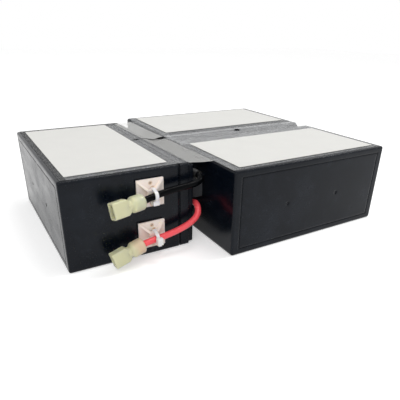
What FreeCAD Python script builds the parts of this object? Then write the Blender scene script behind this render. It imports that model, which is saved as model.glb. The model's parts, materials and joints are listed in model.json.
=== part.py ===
"""Battery cartridge of a rack power supply.

Three 12 V sealed lead-acid batteries lie on their long sides, joined by two films across their tops and wired
in series inside the gaps between them. Two leads come out beside the left battery's lid. Each is tied to an
adhesive mount on that battery's end and ends in a push-on connector.

Millimetres. +Z is up, the leads are at the front (-Y), and the origin is the middle of the base.
"""
import FreeCAD, Part
import math
import os
import re

import Sketcher
from FreeCAD import Placement, Rotation, Vector

SIZES = {
    # Battery case, standing on its base
    "case_length": 151.0,
    "case_width": 65.0,
    "case_height": 83.0,
    "case_corner": 2.0,
    "case_round": 1.5,
    "case_wall": 2.6,
    "case_floor": 3.0,
    "partition_wall": 1.6,
    # Groove that frames the base, and the moulding gate marks inside it
    "frame_end_margin": 6.0,
    "frame_side_margin": 4.6,
    "frame_groove": 0.8,
    "frame_depth": 0.4,
    "gate_spacing": 51.0,
    "gate_diameter": 2.6,
    "gate_depth": 0.5,
    # Lid: sealing neck, skirt and crown, one above the other
    "seam_height": 1.3,
    "seam_inset": 1.2,
    "skirt_height": 6.9,
    "skirt_inset": 0.1,
    "crown_height": 4.2,
    "crown_inset": 1.2,
    "crown_round": 0.8,
    "lid_plate": 5.5,
    "cut_margin": 1.0,
    # Valves under a cover plate in the lid
    "vent_width": 17.0,
    "vent_centre": 4.5,
    "vent_rim": 1.0,
    "vent_recess": 1.6,
    "vent_play": 0.15,
    "vent_notch_length": 3.6,
    "vent_notch_width": 1.2,
    "cup_diameter": 13.4,
    "cup_depth": 2.4,
    "chimney_diameter": 8.0,
    "chimney_height": 1.6,
    "chimney_bore": 4.0,
    "cap_wall": 1.8,
    "cap_play": 0.1,
    # Terminals: a tab over a post, in a well near each end of one long edge
    "terminal_inset": 10.0,
    "terminal_edge": 10.5,
    "well_length": 13.0,
    "well_width": 11.0,
    "well_depth": 2.5,
    "tab_width": 6.35,
    "tab_thickness": 0.8,
    "tab_reach": 4.5,
    "tab_chamfer": 1.2,
    "tab_hole": 1.6,
    "tab_hole_height": 1.1,
    "post_diameter": 5.0,
    "post_play": 0.1,
    "seal_diameter": 9.0,
    "seal_height": 1.2,
    # Plates and the lead straps that join them, cell by cell
    "plate_height": 66.0,
    "plate_teeth": 3.0,
    "plate_thickness": 1.3,
    "plate_play": 0.3,
    "strap_height": 5.0,
    "strap_length": 17.0,
    "strap_width": 9.0,
    "strap_play": 0.3,
    "strap_offset": 17.0,
    "link_diameter": 3.6,
    "link_play": 0.2,
    # How the three batteries lie
    "side_gap": 13.6,
    "middle_gap": 8.0,
    "left_offset": 8.5,
    # Films across the tops, and the labels on them
    "film_thickness": 0.4,
    "film_margin": 2.2,
    "film_sag": 0.8,
    "film_overhang": 4.3,
    "film_slant": 5.0,
    "film_joint_left": 77.2,
    "film_joint_right": 7.0,
    "film_slit": 0.8,
    "film_hole_width": 5.4,
    "film_hole_depth": 3.2,
    "film_hole_place": 74.0,
    "film_gape_width": 8.0,
    "film_gape_depth": 4.6,
    "label_length": 136.0,
    "label_width": 71.3,
    "label_margin": 6.2,
    "label_corner": 1.0,
    "label_thickness": 0.2,
    # Foam spacers in the gaps
    "spacer_length": 44.0,
    "spacer_front": 11.0,
    "spacer_drop": 15.0,
    "spacer_height": 17.0,
    "spacer_rear_gap": 34.0,
    "rear_spacer_low": 12.0,
    "rear_spacer_high": 46.0,
    "middle_spacer_length": 30.0,
    "middle_spacer_place": 36.0,
    "middle_spacer_low": 6.0,
    "middle_spacer_high": 34.0,
    # Adhesive tie mounts on the left battery's front end
    "mount_side": 20.0,
    "mount_corner": 0.5,
    "mount_base": 1.2,
    "mount_height": 4.8,
    "bridge_side": 6.6,
    "bridge_thickness": 1.8,
    "rib_thickness": 1.6,
    "rib_foot": 0.5,
    "mount_hole": 1.8,
    "mount_hole_offset": 7.2,
    "mount_tape": 1.0,
    "mount_tape_margin": 0.6,
    "mount_across": 60.0,
    "upper_mount_drop": 16.3,
    "lower_mount_height": 17.2,
    # Cable ties
    "tie_width": 2.4,
    "tie_thickness": 1.0,
    "tie_offset": 0.8,
    "tie_play": 0.1,
    "tie_wire_play": 0.4,
    "wire_lift": 0.3,
    "upper_wire_drop": 0.2,
    "lower_wire_drop": 1.2,
    "tie_head_width": 4.4,
    "tie_head_length": 4.8,
    "tie_head_depth": 3.4,
    "tie_head_round": 0.6,
    "tie_head_sink": 0.2,
    "tie_tail": 1.2,
    "tie_tail_lift": 1.1,
    # Leads and jumpers
    "wire_diameter": 4.7,
    # Push-on connector on each lead
    "housing_width": 11.2,
    "housing_thickness": 6.8,
    "housing_length": 12.2,
    "housing_shoulder": 2.2,
    "housing_round": 1.2,
    "mouth_width": 8.8,
    "mouth_thickness": 4.4,
    "mouth_depth": 10.5,
    "waist_diameter": 8.0,
    "waist_length": 1.2,
    "bell_slope": 1.8,
    "bell_diameter": 11.2,
    "bell_length": 8.8,
    "bell_round": 2.0,
    "bell_bore": 6.2,
    "black_roll": -14.0,
    "red_roll": -8.0,
    # Folded metal receptacle inside each connector and each flag terminal
    "receptacle_width": 8.2,
    "receptacle_thickness": 2.4,
    "receptacle_length": 8.0,
    "receptacle_wall": 0.7,
    "receptacle_slit": 3.2,
    "receptacle_setback": 1.2,
    "tab_play": 0.1,
    "neck_width": 3.6,
    "barrel_diameter": 5.8,
    "barrel_length": 6.0,
    "barrel_setback": 6.8,
    # Right-angle flag terminals on the battery tabs
    "flag_axis": 3.8,
    "flag_top": 5.2,
    "flag_barrel": 5.2,
    "flag_barrel_diameter": 5.0,
    "sleeve_wall": 0.7,
    "sleeve_play": 0.1,
    "sleeve_lip": 0.7,
}

CELLS = 6
PLATES = 9
BEND_SHARE = 0.45
SHEET = "Sizes"

# Routes of the two free leads, from the middle of the base. Each starts at its flag terminal.
BLACK_LEAD = [
    (-30.8, -70.7, 54.5), (-35.0, -74.8, 52.4), (-44.0, -75.4, 51.6), (-55.5, -75.3, 50.7),
    (-63.5, -75.3, 49.6), (-70.4, -75.5, 48.3), (-78.2, -76.4, 46.9), (-85.3, -78.0, 46.6),
]
RED_LEAD = [
    (-25.0, 0.2, 10.5), (-29.0, -3.4, 11.2), (-29.0, -9.8, 13.2), (-28.7, -19.0, 16.4),
    (-28.8, -29.4, 19.9), (-29.1, -39.6, 23.6), (-29.8, -48.8, 27.0), (-30.6, -56.6, 29.9),
    (-31.2, -63.4, 32.4), (-32.0, -68.8, 30.8), (-33.6, -71.8, 26.4), (-38.6, -73.4, 22.7),
    (-46.0, -74.4, 20.0), (-55.4, -75.0, 17.9), (-63.4, -75.2, 16.6), (-70.6, -75.5, 15.8),
    (-79.8, -76.6, 15.2), (-86.6, -77.2, 13.3),
]

# Routes of the jumpers, each point from the terminal it leaves, the top corner between the three batteries,
# the middle between the facing lids, or the terminal it enters.
LONG_JUMPER = [
    ("leaves", 0.0, -7.8, 0.0), ("leaves", 1.4, -17.4, 2.7), ("leaves", 3.0, -28.4, 5.1),
    ("corner", -0.1, 25.6, -4.8), ("corner", 0.2, 16.4, -4.7), ("corner", 1.9, 8.6, -4.6),
    ("corner", 5.7, 2.4, -4.6), ("corner", 12.7, -0.3, -4.5), ("corner", 22.5, -0.4, -4.4),
    ("corner", 40.5, 0.2, -4.5), ("corner", 68.5, -0.3, -4.4), ("enters", -45.4, 0.8, 5.9),
    ("enters", -29.4, 0.4, 5.1), ("enters", -17.4, 0.1, 2.3), ("enters", -7.4, 0.0, 0.0),
]
SHORT_JUMPER = [
    ("leaves", 8.0, 0.0, 0.0), ("leaves", 22.4, 0.3, -5.1), ("middle", -10.5, 0.2, 5.7),
    ("middle", 13.5, -0.2, -5.9), ("enters", -21.4, -0.3, 4.9), ("enters", -7.8, 0.0, 0.0),
]

doc = FreeCAD.newDocument("battery_cartridge")
sheet = doc.addObject("Spreadsheet::Sheet", SHEET)
subparts = []


def fill_sheet():
    """Write each size into the sheet as a number with its name as alias."""
    for row, (name, value) in enumerate(SIZES.items(), start=1):
        sheet.set(f"A{row}", name)
        sheet.set(f"B{row}", str(value))
        sheet.setAlias(f"B{row}", name)
    doc.recompute()


def size(name):
    """Return one size from the sheet."""
    return float(getattr(sheet, name))


def bound(expression):
    """Turn an expression in size names into one that reads the sheet."""
    return re.sub(r"\b[a-z][a-z_]+\b(?!\()", lambda word: f"{SHEET}.{word.group(0)}", expression)


CELL_LENGTH = f"((case_length - 2 * case_wall - {CELLS - 1} * partition_wall) / {CELLS})"
CELL_PITCH = f"({CELL_LENGTH} + partition_wall)"
CELL_WIDTH = "(case_width - 2 * case_wall)"
FIRST_CELL = f"(-{(CELLS - 1) / 2} * {CELL_PITCH})"
SKIRT_BASE = "(case_height + seam_height)"
CROWN_BASE = f"({SKIRT_BASE} + skirt_height)"
LID_TOP = f"({CROWN_BASE} + crown_height)"
STRAP_BASE = "(case_floor + plate_height)"
TERMINAL_X = "(case_length / 2 - terminal_inset)"
TERMINAL_Y = "(case_width / 2 - terminal_edge)"
VENT_LENGTH = f"({CELLS - 1} * {CELL_PITCH} + cup_diameter + 2 * vent_rim)"
CUP_FLOOR = f"({LID_TOP} - vent_recess - cup_depth)"
CASE_RIGHT = f"(({LID_TOP} + side_gap + case_length) / 2)"
CASE_BACK = f"({LID_TOP} + middle_gap / 2)"
TOP = "(case_width + film_thickness)"


def lid_top():
    """Return the height of a battery's lid over its base."""
    return size("case_height") + size("seam_height") + size("skirt_height") + size("crown_height")


def half_length():
    """Return half the cartridge's length, side to side."""
    return (lid_top() + size("side_gap") + size("case_length")) / 2


def left_front():
    """Return the y of the left battery's front end."""
    return size("left_offset") - size("case_length") / 2


# ---------------------------------------------------------------- sketches and features

def make_body(name):
    """Return a new body that may hold several separate solids."""
    body = doc.addObject("PartDesign::Body", name)
    body.Label = name
    body.AllowCompound = True
    return body


def sketch_on(body, role="XY_Plane", offset=None, turn=None):
    """Return a sketch on one of the body's origin planes, offset along its normal or turned about its height."""
    sketch = body.newObject("Sketcher::SketchObject", f"{body.Name}_sketch")
    planes = [feature for feature in body.Origin.OriginFeatures if feature.Role == role]
    sketch.AttachmentSupport = [(planes[0], "")]
    sketch.MapMode = "FlatFace"
    if turn is not None:
        sketch.AttachmentOffset = Placement(Vector(), Rotation(Vector(0, 1, 0), turn))
    if offset is not None:
        sketch.setExpression("AttachmentOffset.Base.z", bound(offset))
    return sketch


def hold(sketch, kind, first, point, expression, start=0.0):
    """Fix one coordinate of a point from the sketch's origin by an expression."""
    index = sketch.addConstraint(Sketcher.Constraint(kind, -1, 1, first, point, start))
    sketch.setExpression(f"Constraints[{index}]", bound(expression))


def polygon(sketch, points):
    """Draw a closed outline whose corners are pairs of expressions."""
    count = len(points)
    start = sketch.GeometryCount
    ring = [Vector(math.cos(math.tau * i / count), math.sin(math.tau * i / count), 0) for i in range(count)]
    for i in range(count):
        sketch.addGeometry(Part.LineSegment(ring[i], ring[(i + 1) % count]), False)
    for i in range(count):
        following = start + (i + 1) % count
        sketch.addConstraint(Sketcher.Constraint("Coincident", start + i, 2, following, 1))
    for i, (across, along) in enumerate(points):
        hold(sketch, "DistanceX", start + i, 1, across)
        hold(sketch, "DistanceY", start + i, 1, along)


def rectangle(sketch, across, along, width, depth):
    """Draw a rectangle by its centre, width and depth."""
    left, right = f"{across} - {width} / 2", f"{across} + {width} / 2"
    low, high = f"{along} - {depth} / 2", f"{along} + {depth} / 2"
    polygon(sketch, [(left, low), (right, low), (right, high), (left, high)])


def circle(sketch, across, along, diameter):
    """Draw a circle by its centre and diameter."""
    index = sketch.addGeometry(Part.Circle(Vector(1, 1, 0), Vector(0, 0, 1), 1), False)
    hold(sketch, "DistanceX", index, 3, across)
    hold(sketch, "DistanceY", index, 3, along)
    bore = sketch.addConstraint(Sketcher.Constraint("Diameter", index, 2.0))
    sketch.setExpression(f"Constraints[{bore}]", bound(diameter))


def sag_outline(sketch):
    """Draw the section of the film that hangs across the side gap: two like arcs a thickness apart."""
    ends = ((f"{CROWN_BASE} - {CASE_RIGHT}", lid_top() - size("crown_height") - half_length()),
            (f"{CASE_RIGHT} - case_length", half_length() - size("case_length")))
    levels = (("case_width", size("case_width")), (TOP, size("case_width") + size("film_thickness")))
    span = "((crown_height + side_gap) / 2)"
    for index, (level, height) in enumerate(levels):
        left, right = Vector(ends[0][1], height, 0), Vector(ends[1][1], height, 0)
        middle = (left + right) / 2 - Vector(0, size("film_sag"), 0)
        sketch.addGeometry(Part.Arc(left, middle, right), False)
        for point, (place, value) in enumerate(ends, start=1):
            hold(sketch, "DistanceX", index, point, place, value)
            hold(sketch, "DistanceY", index, point, level, height)
        reach = sketch.addConstraint(Sketcher.Constraint("Radius", index, sketch.Geometry[index].Radius))
        sketch.setExpression(f"Constraints[{reach}]", bound(f"({span}^2 + film_sag^2) / (2 * film_sag)"))
    for point, (_, value) in enumerate(ends, start=1):
        foot = Vector(value, levels[0][1], 0)
        line = sketch.addGeometry(Part.LineSegment(foot, Vector(value, levels[1][1], 0)), False)
        sketch.addConstraint(Sketcher.Constraint("Coincident", line, 1, 0, point))
        sketch.addConstraint(Sketcher.Constraint("Coincident", line, 2, 1, point))


def pad(body, sketch, length, midplane=False, reverse=False):
    """Raise a sketch into a solid."""
    feature = body.newObject("PartDesign::Pad", f"{body.Name}_pad")
    feature.Profile = sketch
    feature.Midplane = midplane
    feature.Reversed = reverse
    feature.setExpression("Length", bound(length))
    return feature


def pocket(body, sketch, length, reverse=False):
    """Cut a sketch's area out of the body, against the sketch's normal or, reversed, along it."""
    feature = body.newObject("PartDesign::Pocket", f"{body.Name}_pocket")
    feature.Profile = sketch
    feature.Reversed = reverse
    feature.setExpression("Length", bound(length))
    return feature


def along_x(body, features, step, count):
    """Repeat features along X."""
    pattern = body.newObject("PartDesign::LinearPattern", f"{body.Name}_row")
    pattern.Originals = features
    axes = [feature for feature in body.Origin.OriginFeatures if feature.Role == "X_Axis"]
    pattern.Direction = (axes[0], [""])
    pattern.Occurrences = count
    pattern.setExpression("Length", bound(f"{count - 1} * {step}"))
    body.Tip = pattern
    return pattern


def round_edges(body, radius, test):
    """Round the edges of the body so far that pass a test."""
    doc.recompute()
    base = body.Tip
    names = [f"Edge{i + 1}" for i, edge in enumerate(base.Shape.Edges) if test(edge)]
    fillet = body.newObject("PartDesign::Fillet", f"{body.Name}_round")
    fillet.Base = (base, names)
    fillet.setExpression("Radius", bound(radius))
    body.Tip = fillet
    return fillet


def is_upright(edge):
    """Tell whether an edge is a straight line along Z."""
    first, last = edge.Vertexes[0].Point, edge.Vertexes[-1].Point
    return math.hypot(first.x - last.x, first.y - last.y) < 1e-6 and abs(first.z - last.z) > 1e-6


def is_level(edge, height):
    """Tell whether an edge lies at a height."""
    box = edge.BoundBox
    return abs(box.ZMin - height) < 1e-4 and abs(box.ZMax - height) < 1e-4


# ---------------------------------------------------------------- one battery

def build_container():
    """Case with six cells, gate marks and a framed base."""
    body = make_body("container")
    sketch = sketch_on(body)
    rectangle(sketch, "0", "0", "case_length", "case_width")
    pad(body, sketch, "case_height")
    round_edges(body, "case_corner", is_upright)
    round_edges(body, "case_round", lambda edge: is_level(edge, 0))
    sketch = sketch_on(body, offset="case_height")
    rectangle(sketch, FIRST_CELL, "0", CELL_LENGTH, CELL_WIDTH)
    cell = pocket(body, sketch, "case_height - case_floor")
    along_x(body, [cell], CELL_PITCH, CELLS)
    for side, first, count in ((-1, 2, 3), (1, 1, 2)):
        sketch = sketch_on(body, "YZ_Plane", offset=f"-{first} * {CELL_PITCH} + partition_wall")
        circle(sketch, f"{side} * strap_offset", f"{STRAP_BASE} + strap_height / 2", "link_diameter + 2 * link_play")
        hole = pocket(body, sketch, "2 * partition_wall")
        along_x(body, [hole], f"2 * {CELL_PITCH}", count)
    sketch = sketch_on(body)
    length, width = "(case_length - 2 * frame_end_margin)", "(case_width - 2 * frame_side_margin)"
    rectangle(sketch, "0", "0", length, width)
    rectangle(sketch, "0", "0", f"({length} - 2 * frame_groove)", f"({width} - 2 * frame_groove)")
    pocket(body, sketch, "frame_depth", reverse=True)
    sketch = sketch_on(body)
    circle(sketch, "-gate_spacing / 2", "0", "gate_diameter")
    circle(sketch, "gate_spacing / 2", "0", "gate_diameter")
    pocket(body, sketch, "gate_depth", reverse=True)
    return body


def build_lid():
    """Lid sealed on the case: cell ribs below, valve cups under a long recess, and two terminal wells."""
    body = make_body("lid")
    levels = (("case_height", "seam_height", "seam_inset"), (SKIRT_BASE, "skirt_height", "skirt_inset"),
              (CROWN_BASE, "crown_height", "crown_inset"))
    for base, rise, inset in levels:
        sketch = sketch_on(body, offset=base)
        rectangle(sketch, "0", "0", f"(case_length - 2 * {inset})", f"(case_width - 2 * {inset})")
        pad(body, sketch, rise)
    round_edges(body, "case_corner", is_upright)
    round_edges(body, "crown_round", lambda edge: is_level(edge, lid_top()))
    sketch = sketch_on(body, offset="case_height")
    rectangle(sketch, FIRST_CELL, "0", CELL_LENGTH, CELL_WIDTH)
    cell = pocket(body, sketch, f"{LID_TOP} - case_height - lid_plate", reverse=True)
    along_x(body, [cell], CELL_PITCH, CELLS)
    sketch = sketch_on(body, offset=LID_TOP)
    rectangle(sketch, "0", "-vent_centre", VENT_LENGTH, "vent_width")
    pocket(body, sketch, "vent_recess")
    sketch = sketch_on(body, offset=f"{LID_TOP} - vent_recess")
    circle(sketch, FIRST_CELL, "-vent_centre", "cup_diameter")
    circle(sketch, FIRST_CELL, "-vent_centre", "chimney_diameter")
    cup = pocket(body, sketch, "cup_depth")
    sketch = sketch_on(body, offset=f"{LID_TOP} - vent_recess")
    circle(sketch, FIRST_CELL, "-vent_centre", "chimney_diameter")
    crown = pocket(body, sketch, "cup_depth - chimney_height")
    sketch = sketch_on(body, offset=f"{LID_TOP} - vent_recess")
    circle(sketch, FIRST_CELL, "-vent_centre", "chimney_bore")
    bore = pocket(body, sketch, "lid_plate")
    along_x(body, [cup, crown, bore], CELL_PITCH, CELLS)
    drops = (("well", "well_depth"), ("seal", "well_depth + seal_height"), ("hole", "lid_plate + cut_margin"))
    for shape, depth in drops:
        sketch = sketch_on(body, offset=LID_TOP)
        for side in (-1, 1):
            place = f"{side} * {TERMINAL_X}"
            if shape == "well":
                rectangle(sketch, place, TERMINAL_Y, "well_length", "well_width")
            elif shape == "seal":
                circle(sketch, place, TERMINAL_Y, "seal_diameter + 2 * post_play")
            else:
                circle(sketch, place, TERMINAL_Y, "post_diameter + 2 * post_play")
        pocket(body, sketch, depth)
    return body


def build_vent_cover():
    """Flat plate that closes the valve recess, with gas notches along one edge."""
    body = make_body("vent_cover")
    sketch = sketch_on(body, offset=f"{LID_TOP} - vent_recess")
    rectangle(sketch, "0", "-vent_centre", f"({VENT_LENGTH} - 2 * vent_play)", "(vent_width - 2 * vent_play)")
    pad(body, sketch, "vent_recess - vent_play")
    sketch = sketch_on(body, offset=f"{LID_TOP} - vent_play")
    edge = "(vent_width / 2 - vent_play - vent_centre)"
    rectangle(sketch, FIRST_CELL, f"{edge} - vent_notch_width / 2", "vent_notch_length", "vent_notch_width")
    notch = pocket(body, sketch, "vent_recess")
    along_x(body, [notch], CELL_PITCH, CELLS)
    return body


def build_valve_caps():
    """Six rubber caps, each over its chimney."""
    body = make_body("valve_caps")
    outer = "(chimney_diameter + 2 * cap_play + 2 * cap_wall)"
    sketch = sketch_on(body, offset=f"{CUP_FLOOR} + cap_play")
    circle(sketch, FIRST_CELL, "-vent_centre", outer)
    cap = pad(body, sketch, "cup_depth - 2 * cap_play")
    sketch = sketch_on(body, offset=f"{CUP_FLOOR} + cap_play")
    circle(sketch, FIRST_CELL, "-vent_centre", "chimney_diameter + 2 * cap_play")
    bore = pocket(body, sketch, "chimney_height - cap_play", reverse=True)
    along_x(body, [cap, bore], CELL_PITCH, CELLS)
    return body


def build_terminal(name, side):
    """Post through the lid with a flat tab above the lid, on the side given by its sign."""
    body = make_body(name)
    place = f"{side} * {TERMINAL_X}"
    sketch = sketch_on(body, offset=f"{STRAP_BASE} + strap_height")
    circle(sketch, place, TERMINAL_Y, "post_diameter")
    pad(body, sketch, f"{LID_TOP} - well_depth - {STRAP_BASE} - strap_height")
    sketch = sketch_on(body, "XZ_Plane", offset=f"-{TERMINAL_Y}")
    root, tip = f"{LID_TOP} - well_depth", f"{LID_TOP} + tab_reach"
    left, right = f"{place} - tab_width / 2", f"{place} + tab_width / 2"
    polygon(sketch, [(left, root), (right, root), (right, f"{tip} - tab_chamfer"), (f"{right} - tab_chamfer", tip),
                     (f"{left} + tab_chamfer", tip), (left, f"{tip} - tab_chamfer")])
    circle(sketch, place, f"{LID_TOP} + tab_hole_height", "tab_hole")
    pad(body, sketch, "tab_thickness", midplane=True)
    return body


def build_terminal_seals():
    """Resin ring round each terminal post, in the floor of its well."""
    body = make_body("terminal_seals")
    sketch = sketch_on(body, offset=f"{LID_TOP} - well_depth - seal_height")
    for side in (-1, 1):
        circle(sketch, f"{side} * {TERMINAL_X}", TERMINAL_Y, "seal_diameter")
        circle(sketch, f"{side} * {TERMINAL_X}", TERMINAL_Y, "post_diameter + 2 * post_play")
    pad(body, sketch, "seal_height")
    return body


def build_plate_groups():
    """Six stacks of plates and separators, with the plates standing clear at the top."""
    body = make_body("plate_groups")
    length = f"({CELL_LENGTH} - 2 * plate_play)"
    width = f"({CELL_WIDTH} - 2 * plate_play)"
    sketch = sketch_on(body, offset="case_floor")
    rectangle(sketch, FIRST_CELL, "0", length, width)
    stack = pad(body, sketch, "plate_height - plate_teeth")
    sketch = sketch_on(body, offset=f"{STRAP_BASE} - plate_teeth")
    step = f"(({length} - plate_thickness) / {PLATES - 1})"
    for plate in range(PLATES):
        place = f"{FIRST_CELL} - {(PLATES - 1) / 2} * {step} + {plate} * {step}"
        rectangle(sketch, place, "0", "plate_thickness", width)
    teeth = pad(body, sketch, "plate_teeth")
    along_x(body, [stack, teeth], CELL_PITCH, CELLS)
    return body


def build_cell_straps():
    """Lead straps: five links through the partitions, and one strap under each terminal post."""
    body = make_body("cell_straps")
    for side, first, count in ((-1, 2, 3), (1, 1, 2)):
        wall = f"(-{first} * {CELL_PITCH})"
        sketch = sketch_on(body, offset=STRAP_BASE)
        for half in (-1, 1):
            offset = f"{half} * (partition_wall / 2 + strap_play + strap_width / 2)"
            rectangle(sketch, f"{wall} + {offset}", f"{side} * strap_offset", "strap_width", "strap_width")
        blocks = pad(body, sketch, "strap_height")
        sketch = sketch_on(body, "YZ_Plane", offset=f"{wall} - partition_wall / 2 - 2 * strap_play")
        circle(sketch, f"{side} * strap_offset", f"{STRAP_BASE} + strap_height / 2", "link_diameter")
        link = pad(body, sketch, "partition_wall + 4 * strap_play")
        along_x(body, [blocks, link], f"2 * {CELL_PITCH}", count)
    sketch = sketch_on(body, offset=STRAP_BASE)
    for side in (-1, 1):
        reach = f"({TERMINAL_X} - strap_width / 2 + strap_length / 2)"
        rectangle(sketch, f"{side} * {reach} - {side} * (strap_length - strap_width)", TERMINAL_Y,
                  "strap_length", "strap_width")
    pad(body, sketch, "strap_height")
    return body


BATTERY_PIECES = {
    "container": build_container,
    "lid": build_lid,
    "vent_cover": build_vent_cover,
    "valve_caps": build_valve_caps,
    "terminal_negative": lambda: build_terminal("terminal_negative", -1),
    "terminal_positive": lambda: build_terminal("terminal_positive", 1),
    "terminal_seals": build_terminal_seals,
    "plate_groups": build_plate_groups,
    "cell_straps": build_cell_straps,
}

# Each battery's pose: the directions its length, width and height take, and where the middle of its base lies.
FRONT, BACK, LEFT, RIGHT, UP, DOWN = (Vector(0, -1, 0), Vector(0, 1, 0), Vector(-1, 0, 0), Vector(1, 0, 0),
                                      Vector(0, 0, 1), Vector(0, 0, -1))
BATTERIES = {
    "left": ((BACK, UP, RIGHT), (f"-{CASE_RIGHT}", "left_offset", "case_width / 2")),
    "front": ((LEFT, UP, BACK), (f"{CASE_RIGHT} - case_length / 2", f"-{CASE_BACK}", "case_width / 2")),
    "rear": ((LEFT, DOWN, FRONT), (f"{CASE_RIGHT} - case_length / 2", CASE_BACK, "case_width / 2")),
}


def turned(length_way, width_way, height_way):
    """Return the rotation that takes X, Y and Z to three given directions."""
    return Rotation(FreeCAD.Matrix(length_way.x, width_way.x, height_way.x, 0,
                                   length_way.y, width_way.y, height_way.y, 0,
                                   length_way.z, width_way.z, height_way.z, 0, 0, 0, 0, 1))


def place_copy(source, name, ways, place):
    """Put a copy of a body in the cartridge, turned and moved."""
    copy = doc.addObject("Part::Compound", name)
    copy.Label = name
    copy.Links = [source]
    copy.Placement = Placement(Vector(), turned(*ways))
    for axis, expression in zip("xyz", place):
        copy.setExpression(f"Placement.Base.{axis}", bound(expression))
    return copy


def build_batteries():
    """Build one battery's pieces and lay three copies of each in the cartridge."""
    for piece, build in BATTERY_PIECES.items():
        source = build()
        source.Label = f"{piece}_pattern"
        for battery, (ways, place) in BATTERIES.items():
            subparts.append(place_copy(source, f"{battery}_{piece}", ways, place))


# ---------------------------------------------------------------- films and labels

def build_film(name, front):
    """One film: flat on the left battery, hanging across the side gap and flat on the other two."""
    body = make_body(name)
    left_edge = f"(-{CASE_RIGHT} + film_margin)"
    gap_left = f"({CROWN_BASE} - {CASE_RIGHT})"
    gap_right = f"({CASE_RIGHT} - case_length)"
    right_edge = f"({CASE_RIGHT} - film_margin)"
    joint = "(left_offset - case_length / 2 + film_joint_left)"
    if front:
        left_span = ("(left_offset - case_length / 2 + film_margin)", joint)
        gap_span = ("(left_offset - case_length / 2 - film_overhang)", joint)
        right_span = (f"(-{CASE_BACK} + film_margin)", "film_joint_right")
    else:
        left_span = (f"({joint} + film_slit)", "(left_offset + case_length / 2 - film_margin)")
        gap_span = left_span
        right_span = ("(film_joint_right + film_slit)", f"({CASE_BACK} - film_margin)")
    for low, high, span in ((left_edge, gap_left, left_span), (gap_right, right_edge, right_span)):
        sketch = sketch_on(body, offset="case_width")
        polygon(sketch, [(low, span[0]), (high, span[0]), (high, span[1]), (low, span[1])])
        pad(body, sketch, "film_thickness")
    sketch = sketch_on(body, "XZ_Plane", offset=f"-{gap_span[1]}")
    sag_outline(sketch)
    pad(body, sketch, f"{gap_span[1]} - {gap_span[0]}")
    if front:
        sketch = sketch_on(body, offset=f"{TOP} + film_sag")
        polygon(sketch, [(gap_left, gap_span[0]), (gap_right, gap_span[0]), (gap_left, f"{gap_span[0]} + film_slant")])
        pocket(body, sketch, "2 * film_sag + film_thickness + cut_margin")
        sketch = sketch_on(body, offset=f"{TOP} + film_sag")
        polygon(sketch, [(f"{gap_right} - film_gape_width", f"{joint} + film_slit"),
                         (f"{gap_right} - film_gape_width", joint),
                         (gap_right, f"{joint} - film_gape_depth"), (gap_right, f"{joint} + film_slit")])
        pocket(body, sketch, "2 * film_sag + film_thickness + cut_margin")
        sketch = sketch_on(body, offset=f"{TOP} + film_sag")
        rectangle(sketch, f"{gap_right} + film_hole_place", "film_joint_right - film_hole_depth",
                  "film_hole_width", "film_hole_depth")
        pocket(body, sketch, "2 * film_sag + film_thickness + cut_margin")
    return body


def build_label(name, middle, turned_round):
    """Blank label with rounded corners, by its middle; its long side lies along X or, turned round, along Y."""
    body = make_body(name)
    sketch = sketch_on(body, offset=TOP)
    long_side, short_side = "label_length", "label_width"
    if turned_round:
        long_side, short_side = short_side, long_side
    rectangle(sketch, middle[0], middle[1], long_side, short_side)
    pad(body, sketch, "label_thickness")
    round_edges(body, "label_corner", is_upright)
    return body


def build_covers():
    """Films over the batteries, then a label on each battery."""
    subparts.append(build_film("cover_film_front", True))
    subparts.append(build_film("cover_film_rear", False))
    inward = "(label_margin + label_width / 2)"
    middles = {
        "left_label": (f"-{CASE_RIGHT} + {inward}", "left_offset", True),
        "front_label": (f"{CASE_RIGHT} - case_length / 2", f"-{CASE_BACK} + {inward}", False),
        "rear_label": (f"{CASE_RIGHT} - case_length / 2", f"{CASE_BACK} - {inward}", False),
    }
    for name, (across, along, turned_round) in middles.items():
        subparts.append(build_label(name, (across, along), turned_round))


# ---------------------------------------------------------------- spacers

def build_spacer(name, corner, extent):
    """Foam block between two batteries, by its low corner and its three sizes."""
    block = doc.addObject("Part::Box", name)
    block.Label = name
    for side, expression in zip(("Length", "Width", "Height"), extent):
        block.setExpression(side, bound(expression))
    for axis, expression in zip("xyz", corner):
        block.setExpression(f"Placement.Base.{axis}", bound(expression))
    subparts.append(block)


def build_spacers():
    """Two blocks in the side gap and one between the facing lids."""
    side = f"{LID_TOP} - {CASE_RIGHT}"
    front_end = "left_offset - case_length / 2 + spacer_front"
    build_spacer("front_spacer", (side, front_end, "case_width - spacer_drop - spacer_height"),
                 ("side_gap", "spacer_length", "spacer_height"))
    build_spacer("rear_spacer", (side, f"{front_end} + spacer_length + spacer_rear_gap", "rear_spacer_low"),
                 ("side_gap", "spacer_length", "rear_spacer_high - rear_spacer_low"))
    build_spacer("middle_spacer", (f"{CASE_RIGHT} - case_length + middle_spacer_place", "-middle_gap / 2",
                                   "middle_spacer_low"),
                 ("middle_spacer_length", "middle_gap", "middle_spacer_high - middle_spacer_low"))


# ---------------------------------------------------------------- tie mounts and ties

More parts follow.
